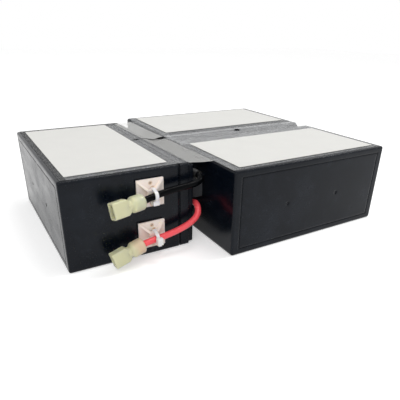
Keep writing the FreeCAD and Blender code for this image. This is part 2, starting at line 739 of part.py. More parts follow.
def build_mount_pattern():
    """Square mount, seen from its base: a raised bridge on four diagonal ribs, open between them."""
    body = make_body("tie_mount_pattern")
    sketch = sketch_on(body)
    rectangle(sketch, "0", "0", "mount_side", "mount_side")
    pad(body, sketch, "mount_base")
    round_edges(body, "mount_corner", is_upright)
    sketch = sketch_on(body, offset="mount_height - bridge_thickness")
    rectangle(sketch, "0", "0", "bridge_side", "bridge_side")
    pad(body, sketch, "bridge_thickness")
    sketch = sketch_on(body, "XZ_Plane", turn=45)
    inner = "(bridge_side / sqrt(2) - rib_thickness / 2)"
    outer = "(mount_side / sqrt(2) - rib_thickness)"
    polygon(sketch, [(inner, "mount_base / 2"), (outer, "mount_base / 2"), (outer, "mount_base + rib_foot"),
                     ("bridge_side / sqrt(2)", "mount_height"), (inner, "mount_height")])
    rib = pad(body, sketch, "rib_thickness", midplane=True)
    ribs = body.newObject("PartDesign::PolarPattern", "tie_mount_ribs")
    ribs.Originals = [rib]
    axes = [feature for feature in body.Origin.OriginFeatures if feature.Role == "Z_Axis"]
    ribs.Axis = (axes[0], [""])
    ribs.Angle = 360
    ribs.Occurrences = 4
    body.Tip = ribs
    sketch = sketch_on(body, offset="mount_base")
    for side in (-1, 1):
        circle(sketch, "0", f"{side} * mount_hole_offset", "mount_hole")
    pocket(body, sketch, "mount_base")
    return body


def tie_loop(centre):
    """Return a tie's band and the ends of its low straight side, in a mount's frame, round a wire's centre."""
    play = size("tie_play")
    radius = size("wire_diameter") / 2 + size("tie_wire_play")
    side = size("bridge_side") / 2 + play
    under = size("mount_height") - size("bridge_thickness") - play
    over = size("mount_height")
    touches = []
    for way in (-1, 1):
        corner = Vector(0, way * side, over)
        away = centre - corner
        lean = math.atan2(away.z, away.y) - way * math.asin(radius / away.Length)
        reach = math.sqrt(away.Length**2 - radius**2)
        touches.append(corner + Vector(0, math.cos(lean), math.sin(lean)) * reach)
    crest = centre + Vector(0, 0, radius)
    corners = [Vector(0, side, over), Vector(0, side, under), Vector(0, -side, under), Vector(0, -side, over)]
    edges = [Part.LineSegment(touches[1], corners[0]).toShape()]
    for first, last in zip(corners, corners[1:]):
        edges.append(Part.LineSegment(first, last).toShape())
    edges.append(Part.LineSegment(corners[3], touches[0]).toShape())
    edges.append(Part.Arc(touches[0], crest, touches[1]).toShape())
    inner = Part.Wire(edges)
    outer = inner.makeOffset2D(size("tie_thickness"))
    ring = Part.Face(outer).cut(Part.Face(inner))
    width = size("tie_width")
    band = ring.extrude(Vector(width, 0, 0))
    band.translate(Vector(size("tie_offset") - width / 2, 0, 0))
    return band, corners[3], touches[0], crest


def tie_head(middle, way, outward):
    """Return a tie's head with its cut tail, seated on the band at a point."""
    width, length, depth = size("tie_head_width"), size("tie_head_length"), size("tie_head_depth")
    tail = size("tie_tail")
    head = Part.makeBox(width, length, depth, Vector(-width / 2, -length / 2, 0))
    edges = [edge for edge in head.Edges if edge.BoundBox.ZMin > depth - 1e-6]
    head = head.makeFillet(size("tie_head_round"), edges)
    end = Part.makeBox(size("tie_width"), 2 * tail, size("tie_thickness"),
                       Vector(-size("tie_width") / 2, length / 2 - tail, size("tie_tail_lift")))
    head = head.fuse(end).removeSplitter()
    head.Placement = Placement(middle, turned(way.cross(outward), way, outward))
    return head


MOUNT_HEIGHTS = {"upper": "(case_width - upper_mount_drop)", "lower": "lower_mount_height"}


def mount_placement(level):
    """Return the pose of the upper or lower mount on the left battery's front end."""
    heights = {"upper": size("case_width") - size("upper_mount_drop"), "lower": size("lower_mount_height")}
    place = Vector(size("mount_across") - half_length(), left_front() - size("mount_tape"), heights[level])
    return Placement(place, turned(RIGHT, UP, FRONT))


def build_tie(level, on_crest):
    """Cable tie through a mount's bridge and round its lead, with its head below the wire or on its crest."""
    pose = mount_placement(level)
    over = size("mount_height") + size("wire_lift") + size("wire_diameter") / 2
    band, low_corner, low_touch, crest = tie_loop(Vector(0, -size(f"{level}_wire_drop"), over))
    if on_crest:
        way, outward, seat = Vector(0, -1, 0), Vector(0, 0, 1), crest
    else:
        way = (low_corner - low_touch).normalize()
        outward = Vector(0, -way.z, way.y)
        if outward.y > 0:
            outward = outward * -1
        seat = (low_corner + low_touch) / 2
    lift = size("tie_thickness") - size("tie_head_sink")
    head = tie_head(seat + Vector(size("tie_offset"), 0, 0) + outward * lift, way, outward)
    tie = doc.addObject("Part::Feature", f"{level}_cable_tie")
    tie.Label = tie.Name
    tie.Shape = band.fuse(head).removeSplitter()
    tie.Placement = pose
    subparts.append(tie)


def build_mounts():
    """Two mounts, each on its tape, with a tie that holds its lead."""
    source = build_mount_pattern()
    place_x = f"mount_across - {CASE_RIGHT}"
    face = "left_offset - case_length / 2"
    for level in ("upper", "lower"):
        height = MOUNT_HEIGHTS[level]
        name = f"{level}_tie_mount"
        ways = (RIGHT, UP, FRONT)
        subparts.append(place_copy(source, name, ways, (place_x, f"{face} - mount_tape", height)))
        tape_side = "(mount_side - 2 * mount_tape_margin)"
        build_spacer(f"{level}_mount_tape",
                     (f"{place_x} - {tape_side} / 2", f"{face} - mount_tape", f"{height} - {tape_side} / 2"),
                     (tape_side, "mount_tape", tape_side))
    build_tie("upper", False)
    build_tie("lower", True)


# ---------------------------------------------------------------- receptacles, connectors and wires

def receptacle_outline(sketch):
    """Draw the folded section that grips a tab: a floor with two edges rolled back over it."""
    half_width, half_depth = "receptacle_width / 2", "receptacle_thickness / 2"
    grip = "(tab_width / 2 + tab_play)"
    floor, roof = "-(tab_thickness / 2 + tab_play)", "(tab_thickness / 2 + tab_play)"
    slit = "receptacle_slit / 2"
    polygon(sketch, [(f"-{half_depth}", f"-{half_width}"), (half_depth, f"-{half_width}"),
                     (half_depth, f"-{slit}"), (roof, f"-{slit}"), (roof, f"-{grip}"), (floor, f"-{grip}"),
                     (floor, grip), (roof, grip), (roof, slit), (half_depth, slit), (half_depth, half_width),
                     (f"-{half_depth}", half_width)])


HOUSING_END = "(housing_length + waist_length + bell_slope + bell_length)"
BARREL_START = f"({HOUSING_END} - barrel_setback - barrel_length)"


def build_housing_pattern():
    """Nylon connector body along X from its mouth: a flat box, a waist and a round bell over the wire."""
    body = make_body("connector_housing_pattern")
    sketch = sketch_on(body, "XZ_Plane")
    half = "housing_width / 2"
    turn = "(housing_length - housing_shoulder)"
    narrow = f"({half} - housing_shoulder)"
    polygon(sketch, [("0", f"-{half}"), (turn, f"-{half}"), ("housing_length", f"-{narrow}"),
                     ("housing_length", narrow), (turn, half), ("0", half)])
    pad(body, sketch, "housing_thickness", midplane=True)
    round_edges(body, "housing_round", is_lengthwise)
    sketch = sketch_on(body, "XZ_Plane")
    bell_start = "(housing_length + waist_length + bell_slope)"
    polygon(sketch, [("housing_length - waist_length", "0"), ("housing_length - waist_length", "waist_diameter / 2"),
                     ("housing_length + waist_length", "waist_diameter / 2"), (bell_start, "bell_diameter / 2"),
                     (HOUSING_END, "bell_diameter / 2"), (HOUSING_END, "0")])
    bell = body.newObject("PartDesign::Revolution", "connector_bell")
    bell.Profile = sketch
    bell.ReferenceAxis = (sketch, ["H_Axis"])
    bell.Angle = 360
    body.Tip = bell
    largest = size("bell_diameter") / 2
    round_edges(body, "bell_round", lambda edge: is_rim(edge, largest))
    sketch = sketch_on(body, "YZ_Plane")
    rectangle(sketch, "0", "0", "mouth_thickness", "mouth_width")
    pocket(body, sketch, "mouth_depth", reverse=True)
    sketch = sketch_on(body, "YZ_Plane", offset=HOUSING_END)
    circle(sketch, "0", "0", "bell_bore")
    pocket(body, sketch, f"{HOUSING_END} - mouth_depth + housing_round")
    return body


def is_lengthwise(edge):
    """Tell whether an edge is a straight line along X."""
    first, last = edge.Vertexes[0].Point, edge.Vertexes[-1].Point
    return math.hypot(first.z - last.z, first.y - last.y) < 1e-6 and abs(first.x - last.x) > 1e-6


def is_rim(edge, radius):
    """Tell whether an edge is a circle about X of a radius."""
    curve = edge.Curve
    return hasattr(curve, "Radius") and abs(curve.Radius - radius) < 1e-6 and abs(curve.Axis.x) > 0.999


def build_contact_pattern():
    """Metal receptacle along X: a folded grip, a neck and a crimp barrel."""
    body = make_body("connector_contact_pattern")
    sketch = sketch_on(body, "YZ_Plane", offset="receptacle_setback")
    receptacle_outline(sketch)
    pad(body, sketch, "receptacle_length")
    sketch = sketch_on(body, "YZ_Plane", offset="receptacle_setback + receptacle_length")
    rectangle(sketch, "-receptacle_thickness / 2 + receptacle_wall / 2", "0", "receptacle_wall", "neck_width")
    pad(body, sketch, f"{BARREL_START} - receptacle_setback - receptacle_length + receptacle_wall")
    sketch = sketch_on(body, "YZ_Plane", offset=BARREL_START)
    circle(sketch, "0", "0", "barrel_diameter")
    pad(body, sketch, "barrel_length")
    return body


def build_flag_contact_pattern():
    """Right-angle receptacle over a tab: its barrel leaves sideways along X, above the lid at Z = 0."""
    body = make_body("flag_contact_pattern")
    sketch = sketch_on(body, offset="-well_depth + receptacle_wall")
    receptacle_turned(sketch)
    pad(body, sketch, "flag_top + well_depth - receptacle_wall")
    sketch = sketch_on(body, "YZ_Plane", offset="receptacle_width / 2 - receptacle_wall")
    circle(sketch, "0", "flag_axis", "flag_barrel_diameter")
    pad(body, sketch, "flag_barrel")
    return body


def receptacle_turned(sketch):
    """Draw the folded section across the sketch instead of up it."""
    half_width, half_depth = "receptacle_width / 2", "receptacle_thickness / 2"
    grip = "(tab_width / 2 + tab_play)"
    floor, roof = "-(tab_thickness / 2 + tab_play)", "(tab_thickness / 2 + tab_play)"
    slit = "receptacle_slit / 2"
    polygon(sketch, [(f"-{half_width}", f"-{half_depth}"), (half_width, f"-{half_depth}"),
                     (half_width, half_depth), (slit, half_depth), (slit, roof), (grip, roof), (grip, floor),
                     (f"-{grip}", floor), (f"-{grip}", roof), (f"-{slit}", roof), (f"-{slit}", half_depth),
                     (f"-{half_width}", half_depth)])


FLAG_END = "(receptacle_width / 2 - receptacle_wall + flag_barrel)"


def build_flag_sleeve_pattern():
    """Insulating boot round a flag terminal and its barrel."""
    body = make_body("flag_sleeve_pattern")
    gap = "(sleeve_wall + sleeve_play)"
    sketch = sketch_on(body)
    rectangle(sketch, "0", "0", f"(receptacle_width + 2 * {gap})", f"(receptacle_thickness + 2 * {gap})")
    pad(body, sketch, f"flag_top + {gap}")
    round_edges(body, "sleeve_wall", is_upright)
    sketch = sketch_on(body, "YZ_Plane", offset="receptacle_width / 2 - receptacle_wall")
    circle(sketch, "0", "flag_axis", f"flag_barrel_diameter + 2 * {gap}")
    pad(body, sketch, "flag_barrel + sleeve_lip")
    sketch = sketch_on(body)
    rectangle(sketch, "0", "0", "(receptacle_width + 2 * sleeve_play)", "(receptacle_thickness + 2 * sleeve_play)")
    pocket(body, sketch, "flag_top + sleeve_play", reverse=True)
    sketch = sketch_on(body, "YZ_Plane", offset=f"{FLAG_END} + sleeve_lip")
    circle(sketch, "0", "flag_axis", "flag_barrel_diameter + 2 * sleeve_play")
    pocket(body, sketch, "flag_barrel + sleeve_lip + receptacle_wall")
    return body


# Flag terminals: battery, terminal side and the way the barrel points along the battery's length.
FLAGS = {
    "lead": (("left", -1, -1), ("rear", 1, 1)),
    "jumper": (("left", 1, -1), ("front", -1, 1), ("front", 1, -1), ("rear", -1, 1)),
}


def flag_pose(battery, side, barrel_way):
    """Return the directions and the place of a flag terminal."""
    length_way, width_way, height_way = BATTERIES[battery][0]
    place = []
    for axis in "xyz":
        along = getattr(length_way, axis)
        across = getattr(width_way, axis)
        up = getattr(height_way, axis)
        base = BATTERIES[battery][1]["xyz".index(axis)]
        place.append(f"{base} + {along * side} * {TERMINAL_X} + {across} * {TERMINAL_Y} + {up} * {LID_TOP}")
    return (length_way * barrel_way, width_way * barrel_way, height_way), place


def build_flags():
    """Six flag terminals and their boots: two on the leads, four on the jumpers."""
    for kind, build in (("contacts", build_flag_contact_pattern), ("sleeves", build_flag_sleeve_pattern)):
        source = build()
        for group, flags in FLAGS.items():
            copies = []
            for battery, side, barrel_way in flags:
                ways, place = flag_pose(battery, side, barrel_way)
                label = f"{battery}_{'minus' if side < 0 else 'plus'}_flag_{kind}"
                copies.append(place_copy(source, label, ways, place))
            together = doc.addObject("Part::Compound", f"{group}_flag_{kind}")
            together.Label = f"{group}_flag_{kind}"
            together.Links = copies
            subparts.append(together)


def flag_exit(battery, side, barrel_way):
    """Return the point where a wire enters a flag terminal's barrel, and the way it leaves."""
    length_way, width_way, height_way = BATTERIES[battery][0]
    top = lid_top()
    bases = {
        "left": Vector(-half_length(), size("left_offset"), size("case_width") / 2),
        "front": Vector(half_length() - size("case_length") / 2, -top - size("middle_gap") / 2,
                        size("case_width") / 2),
        "rear": Vector(half_length() - size("case_length") / 2, top + size("middle_gap") / 2,
                       size("case_width") / 2),
    }
    terminal = side * (size("case_length") / 2 - size("terminal_inset"))
    reach = size("receptacle_width") / 2 - size("receptacle_wall") + size("flag_barrel")
    return (bases[battery] + length_way * (terminal + barrel_way * reach)
            + width_way * (size("case_width") / 2 - size("terminal_edge")) + height_way * (top + size("flag_axis")))


def wire_path(points):
    """Return a wire of straight runs joined by tangent arcs, and the arcs' radii."""
    edges = []
    radii = []
    cursor = points[0]
    for before, corner, after in zip(points, points[1:], points[2:]):
        inward = (before - corner).normalize()
        onward = (after - corner).normalize()
        turn = math.pi - inward.getAngle(onward)
        reach = BEND_SHARE * min((before - corner).Length, (after - corner).Length)
        radius = reach / math.tan(turn / 2)
        start = corner + inward * reach
        end = corner + onward * reach
        bisector = (inward + onward).normalize()
        middle = corner + bisector * (radius / math.cos(turn / 2) - radius)
        edges.append(Part.LineSegment(cursor, start).toShape())
        edges.append(Part.Arc(start, middle, end).toShape())
        radii.append(radius)
        cursor = end
    edges.append(Part.LineSegment(cursor, points[-1]).toShape())
    return Part.Wire(edges), radii


def build_wire(name, points):
    """Round insulated wire along a route."""
    path, radii = wire_path(points)
    radius = size("wire_diameter") / 2
    section = Part.Wire(Part.Circle(points[0], points[1] - points[0], radius).toShape())
    tube = path.makePipeShell([section], True, False)
    expected = math.pi * radius**2 * path.Length
    wire = doc.addObject("Part::Feature", name)
    wire.Label = name
    wire.Shape = tube
    wire.Placement = Placement()
    subparts.append(wire)
    print(f"{name}: length {path.Length:.1f}, smallest radius {min(radii):.1f}, "
          f"volume over section times length {tube.Volume / expected:.4f}")
    print("  radii", " ".join(f"{value:.1f}" for value in radii))


def build_connector(colour, points, housing, contact):
    """Connector on a lead's end, in line with the lead's last run and rolled about it."""
    way = (points[-1] - points[-2]).normalize()
    barrel_end = (size("housing_length") + size("waist_length") + size("bell_slope") + size("bell_length")
                  - size("barrel_setback"))
    mouth = points[-1] + way * barrel_end
    back = way * -1
    side = UP.cross(back).normalize()
    rise = back.cross(side)
    roll = Rotation(back, size(f"{colour}_roll"))
    for piece, source in (("connector_housing", housing), ("connector_contact", contact)):
        copy = doc.addObject("Part::Compound", f"{colour}_{piece}")
        copy.Label = f"{colour}_{piece}"
        copy.Links = [source]
        copy.Placement = Placement(mouth, roll * turned(back, side, rise))
        subparts.append(copy)
    print(f"{colour} connector mouth", [round(value, 2) for value in mouth], "facing",
          [round(value, 3) for value in way])


def black_route():
    """Return the points of the black lead, from the left battery's negative terminal."""
    return [flag_exit("left", -1, -1)] + [Vector(*point) for point in BLACK_LEAD]


def red_route():
    """Return the points of the red lead, from the rear battery's positive terminal."""
    return [flag_exit("rear", 1, 1)] + [Vector(*point) for point in RED_LEAD]


def jumper_route(leaves, enters, steps):
    """Return the points of a jumper between two flag terminals."""
    gap_middle = half_length() - size("case_length") - size("side_gap") / 2
    anchors = {
        "leaves": flag_exit(*leaves),
        "enters": flag_exit(*enters),
        "corner": Vector(gap_middle, 0, size("case_width")),
        "middle": Vector(half_length() - size("case_length") / 2, 0, size("case_width") / 2),
    }
    return ([anchors["leaves"]] + [anchors[name] + Vector(*offset) for name, *offset in steps]
            + [anchors["enters"]])


def build_wiring():
    """Leads with their connectors, and the two jumpers that put the batteries in series."""
    housing = build_housing_pattern()
    contact = build_contact_pattern()
    for colour, points in (("black", black_route()), ("red", red_route())):
        build_wire(f"{colour}_lead", points)
        build_connector(colour, points, housing, contact)
    build_wire("long_jumper", jumper_route(("left", 1, -1), ("front", -1, 1), LONG_JUMPER))
    build_wire("short_jumper", jumper_route(("front", 1, -1), ("rear", -1, 1), SHORT_JUMPER))


# ---------------------------------------------------------------- whole cartridge

def check():
    """Stop if any object failed or any sub-part is empty or invalid."""
    for item in doc.Objects:
        if "Invalid" in item.State or "Error" in item.State:
            raise RuntimeError(f"{item.Label} failed: {item.State}")
    for item in subparts:
        if item.Shape.isNull() or not item.Shape.isValid() or not item.Shape.Solids:
            raise RuntimeError(f"{item.Label} has no valid solid")


def main():
    """Build every sub-part, check it and write its STEP file."""
    fill_sheet()
    build_batteries()
    build_covers()
    build_spacers()
    build_mounts()
    build_flags()
    build_wiring()
    doc.recompute()
    check()
    os.makedirs("parts", exist_ok=True)
    for item in subparts:
        item.Shape.exportStep(os.path.join("parts", f"{item.Label}.step"))
    print(len(subparts), "sub-parts written")


main()
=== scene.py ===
"""Looks of a rack power supply's battery cartridge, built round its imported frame.

Everything is in metres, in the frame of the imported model: +Z is up, -Y is the front and the origin is
the middle of the base. The rigid pieces keep their solids and take a finish from this file. The films
over the batteries and the two leads are soft, so they are made here, where their solids lie.
"""

import json
import logging
import math
from dataclasses import dataclass, field
from enum import Enum
from typing import Any, Iterable, Sequence

import bmesh
import bpy
from mathutils import Matrix, Vector, noise


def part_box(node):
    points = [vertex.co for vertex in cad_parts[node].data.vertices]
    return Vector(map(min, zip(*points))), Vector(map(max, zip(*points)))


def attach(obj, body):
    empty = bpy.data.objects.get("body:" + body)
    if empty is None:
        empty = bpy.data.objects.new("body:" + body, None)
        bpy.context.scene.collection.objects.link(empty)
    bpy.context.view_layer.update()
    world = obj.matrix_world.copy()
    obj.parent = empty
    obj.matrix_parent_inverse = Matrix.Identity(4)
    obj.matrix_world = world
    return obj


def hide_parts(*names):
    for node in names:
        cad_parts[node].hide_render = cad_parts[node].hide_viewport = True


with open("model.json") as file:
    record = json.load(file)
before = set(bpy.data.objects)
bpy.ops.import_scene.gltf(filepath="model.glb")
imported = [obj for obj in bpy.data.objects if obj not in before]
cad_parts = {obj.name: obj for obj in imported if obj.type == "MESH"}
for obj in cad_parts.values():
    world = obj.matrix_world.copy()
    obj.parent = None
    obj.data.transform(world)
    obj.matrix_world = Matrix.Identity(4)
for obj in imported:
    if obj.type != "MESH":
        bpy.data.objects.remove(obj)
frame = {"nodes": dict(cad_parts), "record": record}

LOG = logging.getLogger("cartridge")
BODY = "root"
MM = 0.001
CROWN = 4.2 * MM
GATE_SPACING = 51.0 * MM
MOUNT_BASE = 1.2 * MM

# Glue stains on a mount: how far right of its middle and how far below its top.
STAINS = ((0.0, 2.8 * MM), (1.5 * MM, 6.4 * MM), (0.8 * MM, 18.2 * MM))
STAIN_SIZE = 1.9 * MM
STAIN_COLOUR = (0.62, 0.36, 0.16)

# A wire's end that shows through its connector's housing.
WIRE_END_SIZE = 8 * MM
RED_SHOWING = (0.92, 0.47, 0.42)
BLACK_SHOWING = (0.62, 0.68, 0.60)

# How far before the rear label the film's loose strip ends.
STRIP_STOP = 9 * MM

# The angle below which a sheet is shaded smooth.
SHEET_SMOOTH = math.radians(40)

Colour = tuple[float, float, float]
Point = tuple[float, float, float]
Term = "Value | float"


# ---------- materials


class Value:
    """A number that varies over a surface, with its arithmetic written as Python."""

    def __init__(self, tree: bpy.types.NodeTree, socket: bpy.types.NodeSocket) -> None:
        """Wrap a node's output socket.

        Args:
            tree: The node tree that the socket belongs to.
            socket: The output that carries the number, colour or vector.
        """
        self.tree = tree
        self.socket = socket

    def _math(self, operation: str, first: Term, second: Term) -> "Value":
        """Add a Math node.

        Args:
            operation: The node's operation.
            first: Its first term.
            second: Its second term.

        Returns:
            The node's result.
        """
        node = self.tree.nodes.new("ShaderNodeMath")
        node.operation = operation
        for place, term in enumerate((first, second)):
            if isinstance(term, Value):
                self.tree.links.new(term.socket, node.inputs[place])
            else:
                node.inputs[place].default_value = term
        return Value(self.tree, node.outputs[0])

    def __add__(self, other: Term) -> "Value":
        """Return this plus the other."""
        return self._math("ADD", self, other)

    def __sub__(self, other: Term) -> "Value":
        """Return this less the other."""
        return self._math("SUBTRACT", self, other)

    def __rsub__(self, other: float) -> "Value":
        """Return the other less this."""
        return self._math("SUBTRACT", other, self)

    def __mul__(self, other: Term) -> "Value":
        """Return this times the other."""
        return self._math("MULTIPLY", self, other)

    def __truediv__(self, other: Term) -> "Value":
        """Return this over the other."""
        return self._math("DIVIDE", self, other)

    def __rtruediv__(self, other: float) -> "Value":
        """Return the other over this."""
        return self._math("DIVIDE", other, self)

    __radd__ = __add__
    __rmul__ = __mul__

    def above(self, edge: float, width: float) -> "Value":
        """Return a soft step, 0 below an edge and 1 above it.

        Args:
            edge: Where the step starts.
            width: How far it takes to rise.

        Returns:
            The step, from 0 to 1.
        """
        return self._math("MINIMUM", self._math("MAXIMUM", (self - edge) / width, 0.0), 1.0)

    def between(self, start: float, end: float, width: float) -> "Value":
        """Return 1 between two edges and 0 outside them, with soft steps of a width."""
        return self.above(start - width / 2, width) * (1 - self.above(end - width / 2, width))


class Paint:
    """The node tree of one material, ending in a Principled surface."""

    def __init__(self, name: str) -> None:
        """Start an empty material.

        Args:
            name: The material's name.
        """
        self.material = bpy.data.materials.new(name)
        self.material.use_nodes = True
        self.tree = self.material.node_tree
        self.tree.nodes.clear()
        self.place = self.add("ShaderNodeTexCoord", output="Object")

    def add(self, kind: str, settings: dict[str, Any] | None = None,
            inputs: dict[str | int, Any] | None = None, output: str | int = 0) -> Value:
        """Add one node.

        Args:
            kind: The node's type.
            settings: Its options, set first.
            inputs: Values or links of its sockets, by name or place.
            output: The output that is wanted.

        Returns:
            That output.
        """
        node = self.tree.nodes.new(kind)
        for name, value in (settings or {}).items():
            setattr(node, name, value)
        for name, value in (inputs or {}).items():
            if isinstance(value, Value):
                self.tree.links.new(value.socket, node.inputs[name])
            else:
                node.inputs[name].default_value = value
        return Value(self.tree, node.outputs[output])

    def along(self, axis: str) -> Value:
        """Return the place on the piece along one axis, in metres."""
        return self.add("ShaderNodeSeparateXYZ", inputs={0: self.place}, output=axis)

    def away(self, place: Point) -> Value:
        """Return the distance from a place."""
        inputs = {0: self.place, 1: place}
        return self.add("ShaderNodeVectorMath", {"operation": "DISTANCE"}, inputs, "Value")

    def mark(self, name: str) -> Value:
        """Return a number that the mesh carries at each of its corners."""
        return self.add("ShaderNodeAttribute", {"attribute_name": name}, output="Fac")

    def round_off(self, radius: float, over: Value) -> Value:
        """Return the surface's normal with its edges rounded off, over another relief."""
        return self.add("ShaderNodeBevel", {"samples": 6}, {"Radius": radius, "Normal": over})

    def cloud(self, size: float, detail: float = 3.0, stretch: Point | None = None,
              rough: float = 0.55) -> Value:
        """Add soft noise.

        Args:
            size: The width of its patches, in metres.
            detail: How many finer layers it has.
            stretch: How the place it follows is scaled along each axis, if it is.
            rough: How strong the finer layers are.

        Returns:
            The noise, from about 0.2 to 0.8.
        """
        where = self.place
        if stretch:
            where = self.add("ShaderNodeMapping", inputs={"Vector": where, "Scale": stretch})
        inputs = {"Vector": where, "Scale": 1.0 / size, "Detail": detail, "Roughness": rough}
        return self.add("ShaderNodeTexNoise", inputs=inputs)

    def cells(self, size: float) -> Value:
        """Return the distance to the nearest of scattered points a size apart."""
        inputs = {"Vector": self.place, "Scale": 1.0 / size}
        return self.add("ShaderNodeTexVoronoi", {"feature": "F1"}, inputs, "Distance")

    def blend(self, share: Term, first: Colour | Value, second: Colour | Value) -> Value:
        """Mix two colours.

        Args:
            share: How much of the second shows.
            first: The colour at 0.
            second: The colour at 1.

        Returns:
            The mixed colour.
        """
        ends = {}
        for name, colour in ((6, first), (7, second)):
            ends[name] = colour if isinstance(colour, Value) else (*colour, 1.0)
        return self.add("ShaderNodeMix", {"data_type": "RGBA"}, {0: share, **ends}, 2)

    def bump(self, height: Value, depth: float, strength: float = 1.0,
             over: Value | None = None) -> Value:
        """Add relief.

        Args:
            height: The relief, from 0 to 1.
            depth: Its full depth, in metres.
            strength: How much of it shows.
            over: A relief that this one lies on.

        Returns:
            The surface's normal.
        """
        inputs: dict[str | int, Any] = {"Height": height, "Distance": depth, "Strength": strength}
        if over is not None:
            inputs["Normal"] = over
        return self.add("ShaderNodeBump", inputs=inputs)

    def finish(self, **sockets: Any) -> bpy.types.Material:
        """End the tree in a Principled surface.

        Args:
            **sockets: Its inputs, with words joined by underscores.

        Returns:
            The finished material.
        """
        inputs = {name.replace("_", " "): value for name, value in sockets.items()}
        surface = self.add("ShaderNodeBsdfPrincipled", inputs=inputs)
        end = self.tree.nodes.new("ShaderNodeOutputMaterial")
        self.tree.links.new(surface.socket, end.inputs["Surface"])
        return self.material


def grey(level: float, tint: float = 0.0) -> Colour:
    """Return a grey, tinted blue by a share of its level."""
    return (level * (1.0 - tint / 2.0), level, level * (1.0 + tint))


@dataclass(frozen=True)
class Patches:
    """Soft patches of noise.

    Attributes:
        size: The width of a patch.
        start: The level of noise at which the patches start to show.
        soft: How far the noise rises before they show in full.
        detail, rough: How many finer layers the noise has, and how strong they are.
        stretch: How the place is scaled along each axis.
    """

    size: float
    start: float
    soft: float
    detail: float = 4.0
    rough: float = 0.55
    stretch: Point | None = None

    def on(self, paint: Paint) -> Value:
        """Return the patches on a material, from 0 to 1."""
        return paint.cloud(self.size, self.detail, self.stretch, self.rough).above(self.start, self.soft)


@dataclass(frozen=True)
class Relief:
    """Uneven relief.

    Attributes:
        size: The width of its bumps.
        depth, strength: Its full depth, and how much of that shows.
        detail, stretch: As for patches.
    """

    size: float
    depth: float
    strength: float = 1.0
    detail: float = 3.0
    stretch: Point | None = None

    def on(self, paint: Paint, over: Value | None = None) -> Value:
        """Return the surface's normal with this relief, over another one if given."""
        height = paint.cloud(self.size, self.detail, self.stretch)
        return paint.bump(height, self.depth, self.strength, over)


@dataclass(frozen=True)
class Band:
    """A stretch along one axis, with soft edges, measured from a line."""

    start: float
    end: float
    soft: float

    def on(self, place: Value, line: float) -> Value:
        """Return 1 inside the stretch and 0 outside it."""
        return place.between(line + self.start, line + self.end, self.soft)


@dataclass(frozen=True)
class MouldedPlastic:
    """Moulded plastic: a fine grain, faint clouds where it cooled, rubs, and dust in patches.

    Attributes:
        edge: The radius that its edges are rounded off to.
        sinks: The middles of its moulding gates, each in a hollow.
        dust_parts: How much the clouds, the specks and the smudges each add to the dust.
    """

    name: str
    colour: Colour
    dust: Colour
    roughness: float = 0.22
    shine: float = 0.17
    edge: float = 2.0 * MM
    sinks: tuple[Point, ...] = ()
    sink_size: float = 3.2 * MM
    sink_depth: float = 0.25 * MM
    dust_share: float = 0.3
    dust_parts: tuple[float, float, float] = (0.6, 0.25, 0.3)
    dust_roughness: float = 0.3
    clouds: Patches = Patches(26 * MM, 0.45, 0.3, detail=5.0)
    specks: Patches = Patches(1.4 * MM, 0.6, 0.1, detail=2.0)
    smudges: Patches = Patches(7 * MM, 0.56, 0.12, detail=5.0, rough=0.65)
    rub_size: float = 9 * MM
    rub_change: float = 0.18
    grain: Relief = Relief(0.5 * MM, 0.006 * MM, detail=2.0)
    warp: Relief = Relief(45 * MM, 0.18 * MM, strength=0.5, detail=1.0)

    def make(self) -> bpy.types.Material:
        """Return the material."""
        paint = Paint(self.name)
        clouds, specks, smudges = self.dust_parts
        dusty = (self.clouds.on(paint) * clouds + self.specks.on(paint) * specks
                 + self.smudges.on(paint) * smudges) * self.dust_share
        rubs = paint.cloud(self.rub_size, 4.0, (1.0, 0.25, 1.0))
        relief = self.warp.on(paint, self.grain.on(paint))
        for place in self.sinks:
            dip = (1 - paint.away(place) / self.sink_size).above(0.0, 1.0)
            relief = paint.bump(1 - dip * dip, self.sink_depth, 1.0, relief)
            dusty = dusty * (1 - dip)
        return paint.finish(
            Base_Color=paint.blend(dusty, self.colour, self.dust),
            Roughness=self.roughness + (rubs - 0.5) * self.rub_change + dusty * self.dust_roughness,
            Normal=paint.round_off(self.edge, relief),
            Specular_IOR_Level=self.shine,
        )


@dataclass(frozen=True)
class LabelStock:
    """Plain white label: coated paper with a little fibre and a gentle ripple where it was laid."""

    name: str = "label_stock"
    colour: Colour = (0.735, 0.73, 0.70)
    shade: Colour = (0.67, 0.665, 0.64)
    roughness: float = 0.44
    mottle: Patches = Patches(14 * MM, 0.35, 0.5)
    fibre_size: float = 0.5 * MM
    fibre_depth: float = 0.02 * MM
    fibre_share: float = 0.2
    ripple: Relief = Relief(22 * MM, 0.3 * MM, strength=0.5, detail=1.0)

    def make(self) -> bpy.types.Material:
        """Return the material."""
        paint = Paint(self.name)
        fibre = paint.cloud(self.fibre_size, stretch=(1.0, 0.5, 1.0))
        darker = self.mottle.on(paint) * 0.35 + fibre * self.fibre_share
        return paint.finish(
            Base_Color=paint.blend(darker, self.colour, self.shade),
            Roughness=self.roughness + fibre * self.fibre_share,
            Normal=paint.bump(fibre, self.fibre_depth, 0.6, self.ripple.on(paint)),
        )


@dataclass(frozen=True)
class Haze:
    """How much the film hides what is below it, as shares of full cover.

    Each stretch adds its share, but outer, outer_far and fold take theirs away; fold does so along the
    crease, as painted shade.
    """

    stuck: float = 0.08
    wetted: float = 0.05
    bubble: float = 0.02
    seam: float = 0.04
    outer: float = 0.045
    outer_far: float = 0.03
    free: float = 0.27
    free_soft: float = 0.06
    free_far: float = 0.05
    strip: float = 0.1
    shelf: float = 0.08
    crease_shade: float = 0.45
    welt: float = 0.06
    # A painted highlight along the film's front edges.
    edge_highlight: float = 0.3
    # How much darker the film is along the left battery's outer margin and along the rear margins.
    outer_darkening: float = 0.3
    rear_darkening: float = 0.45


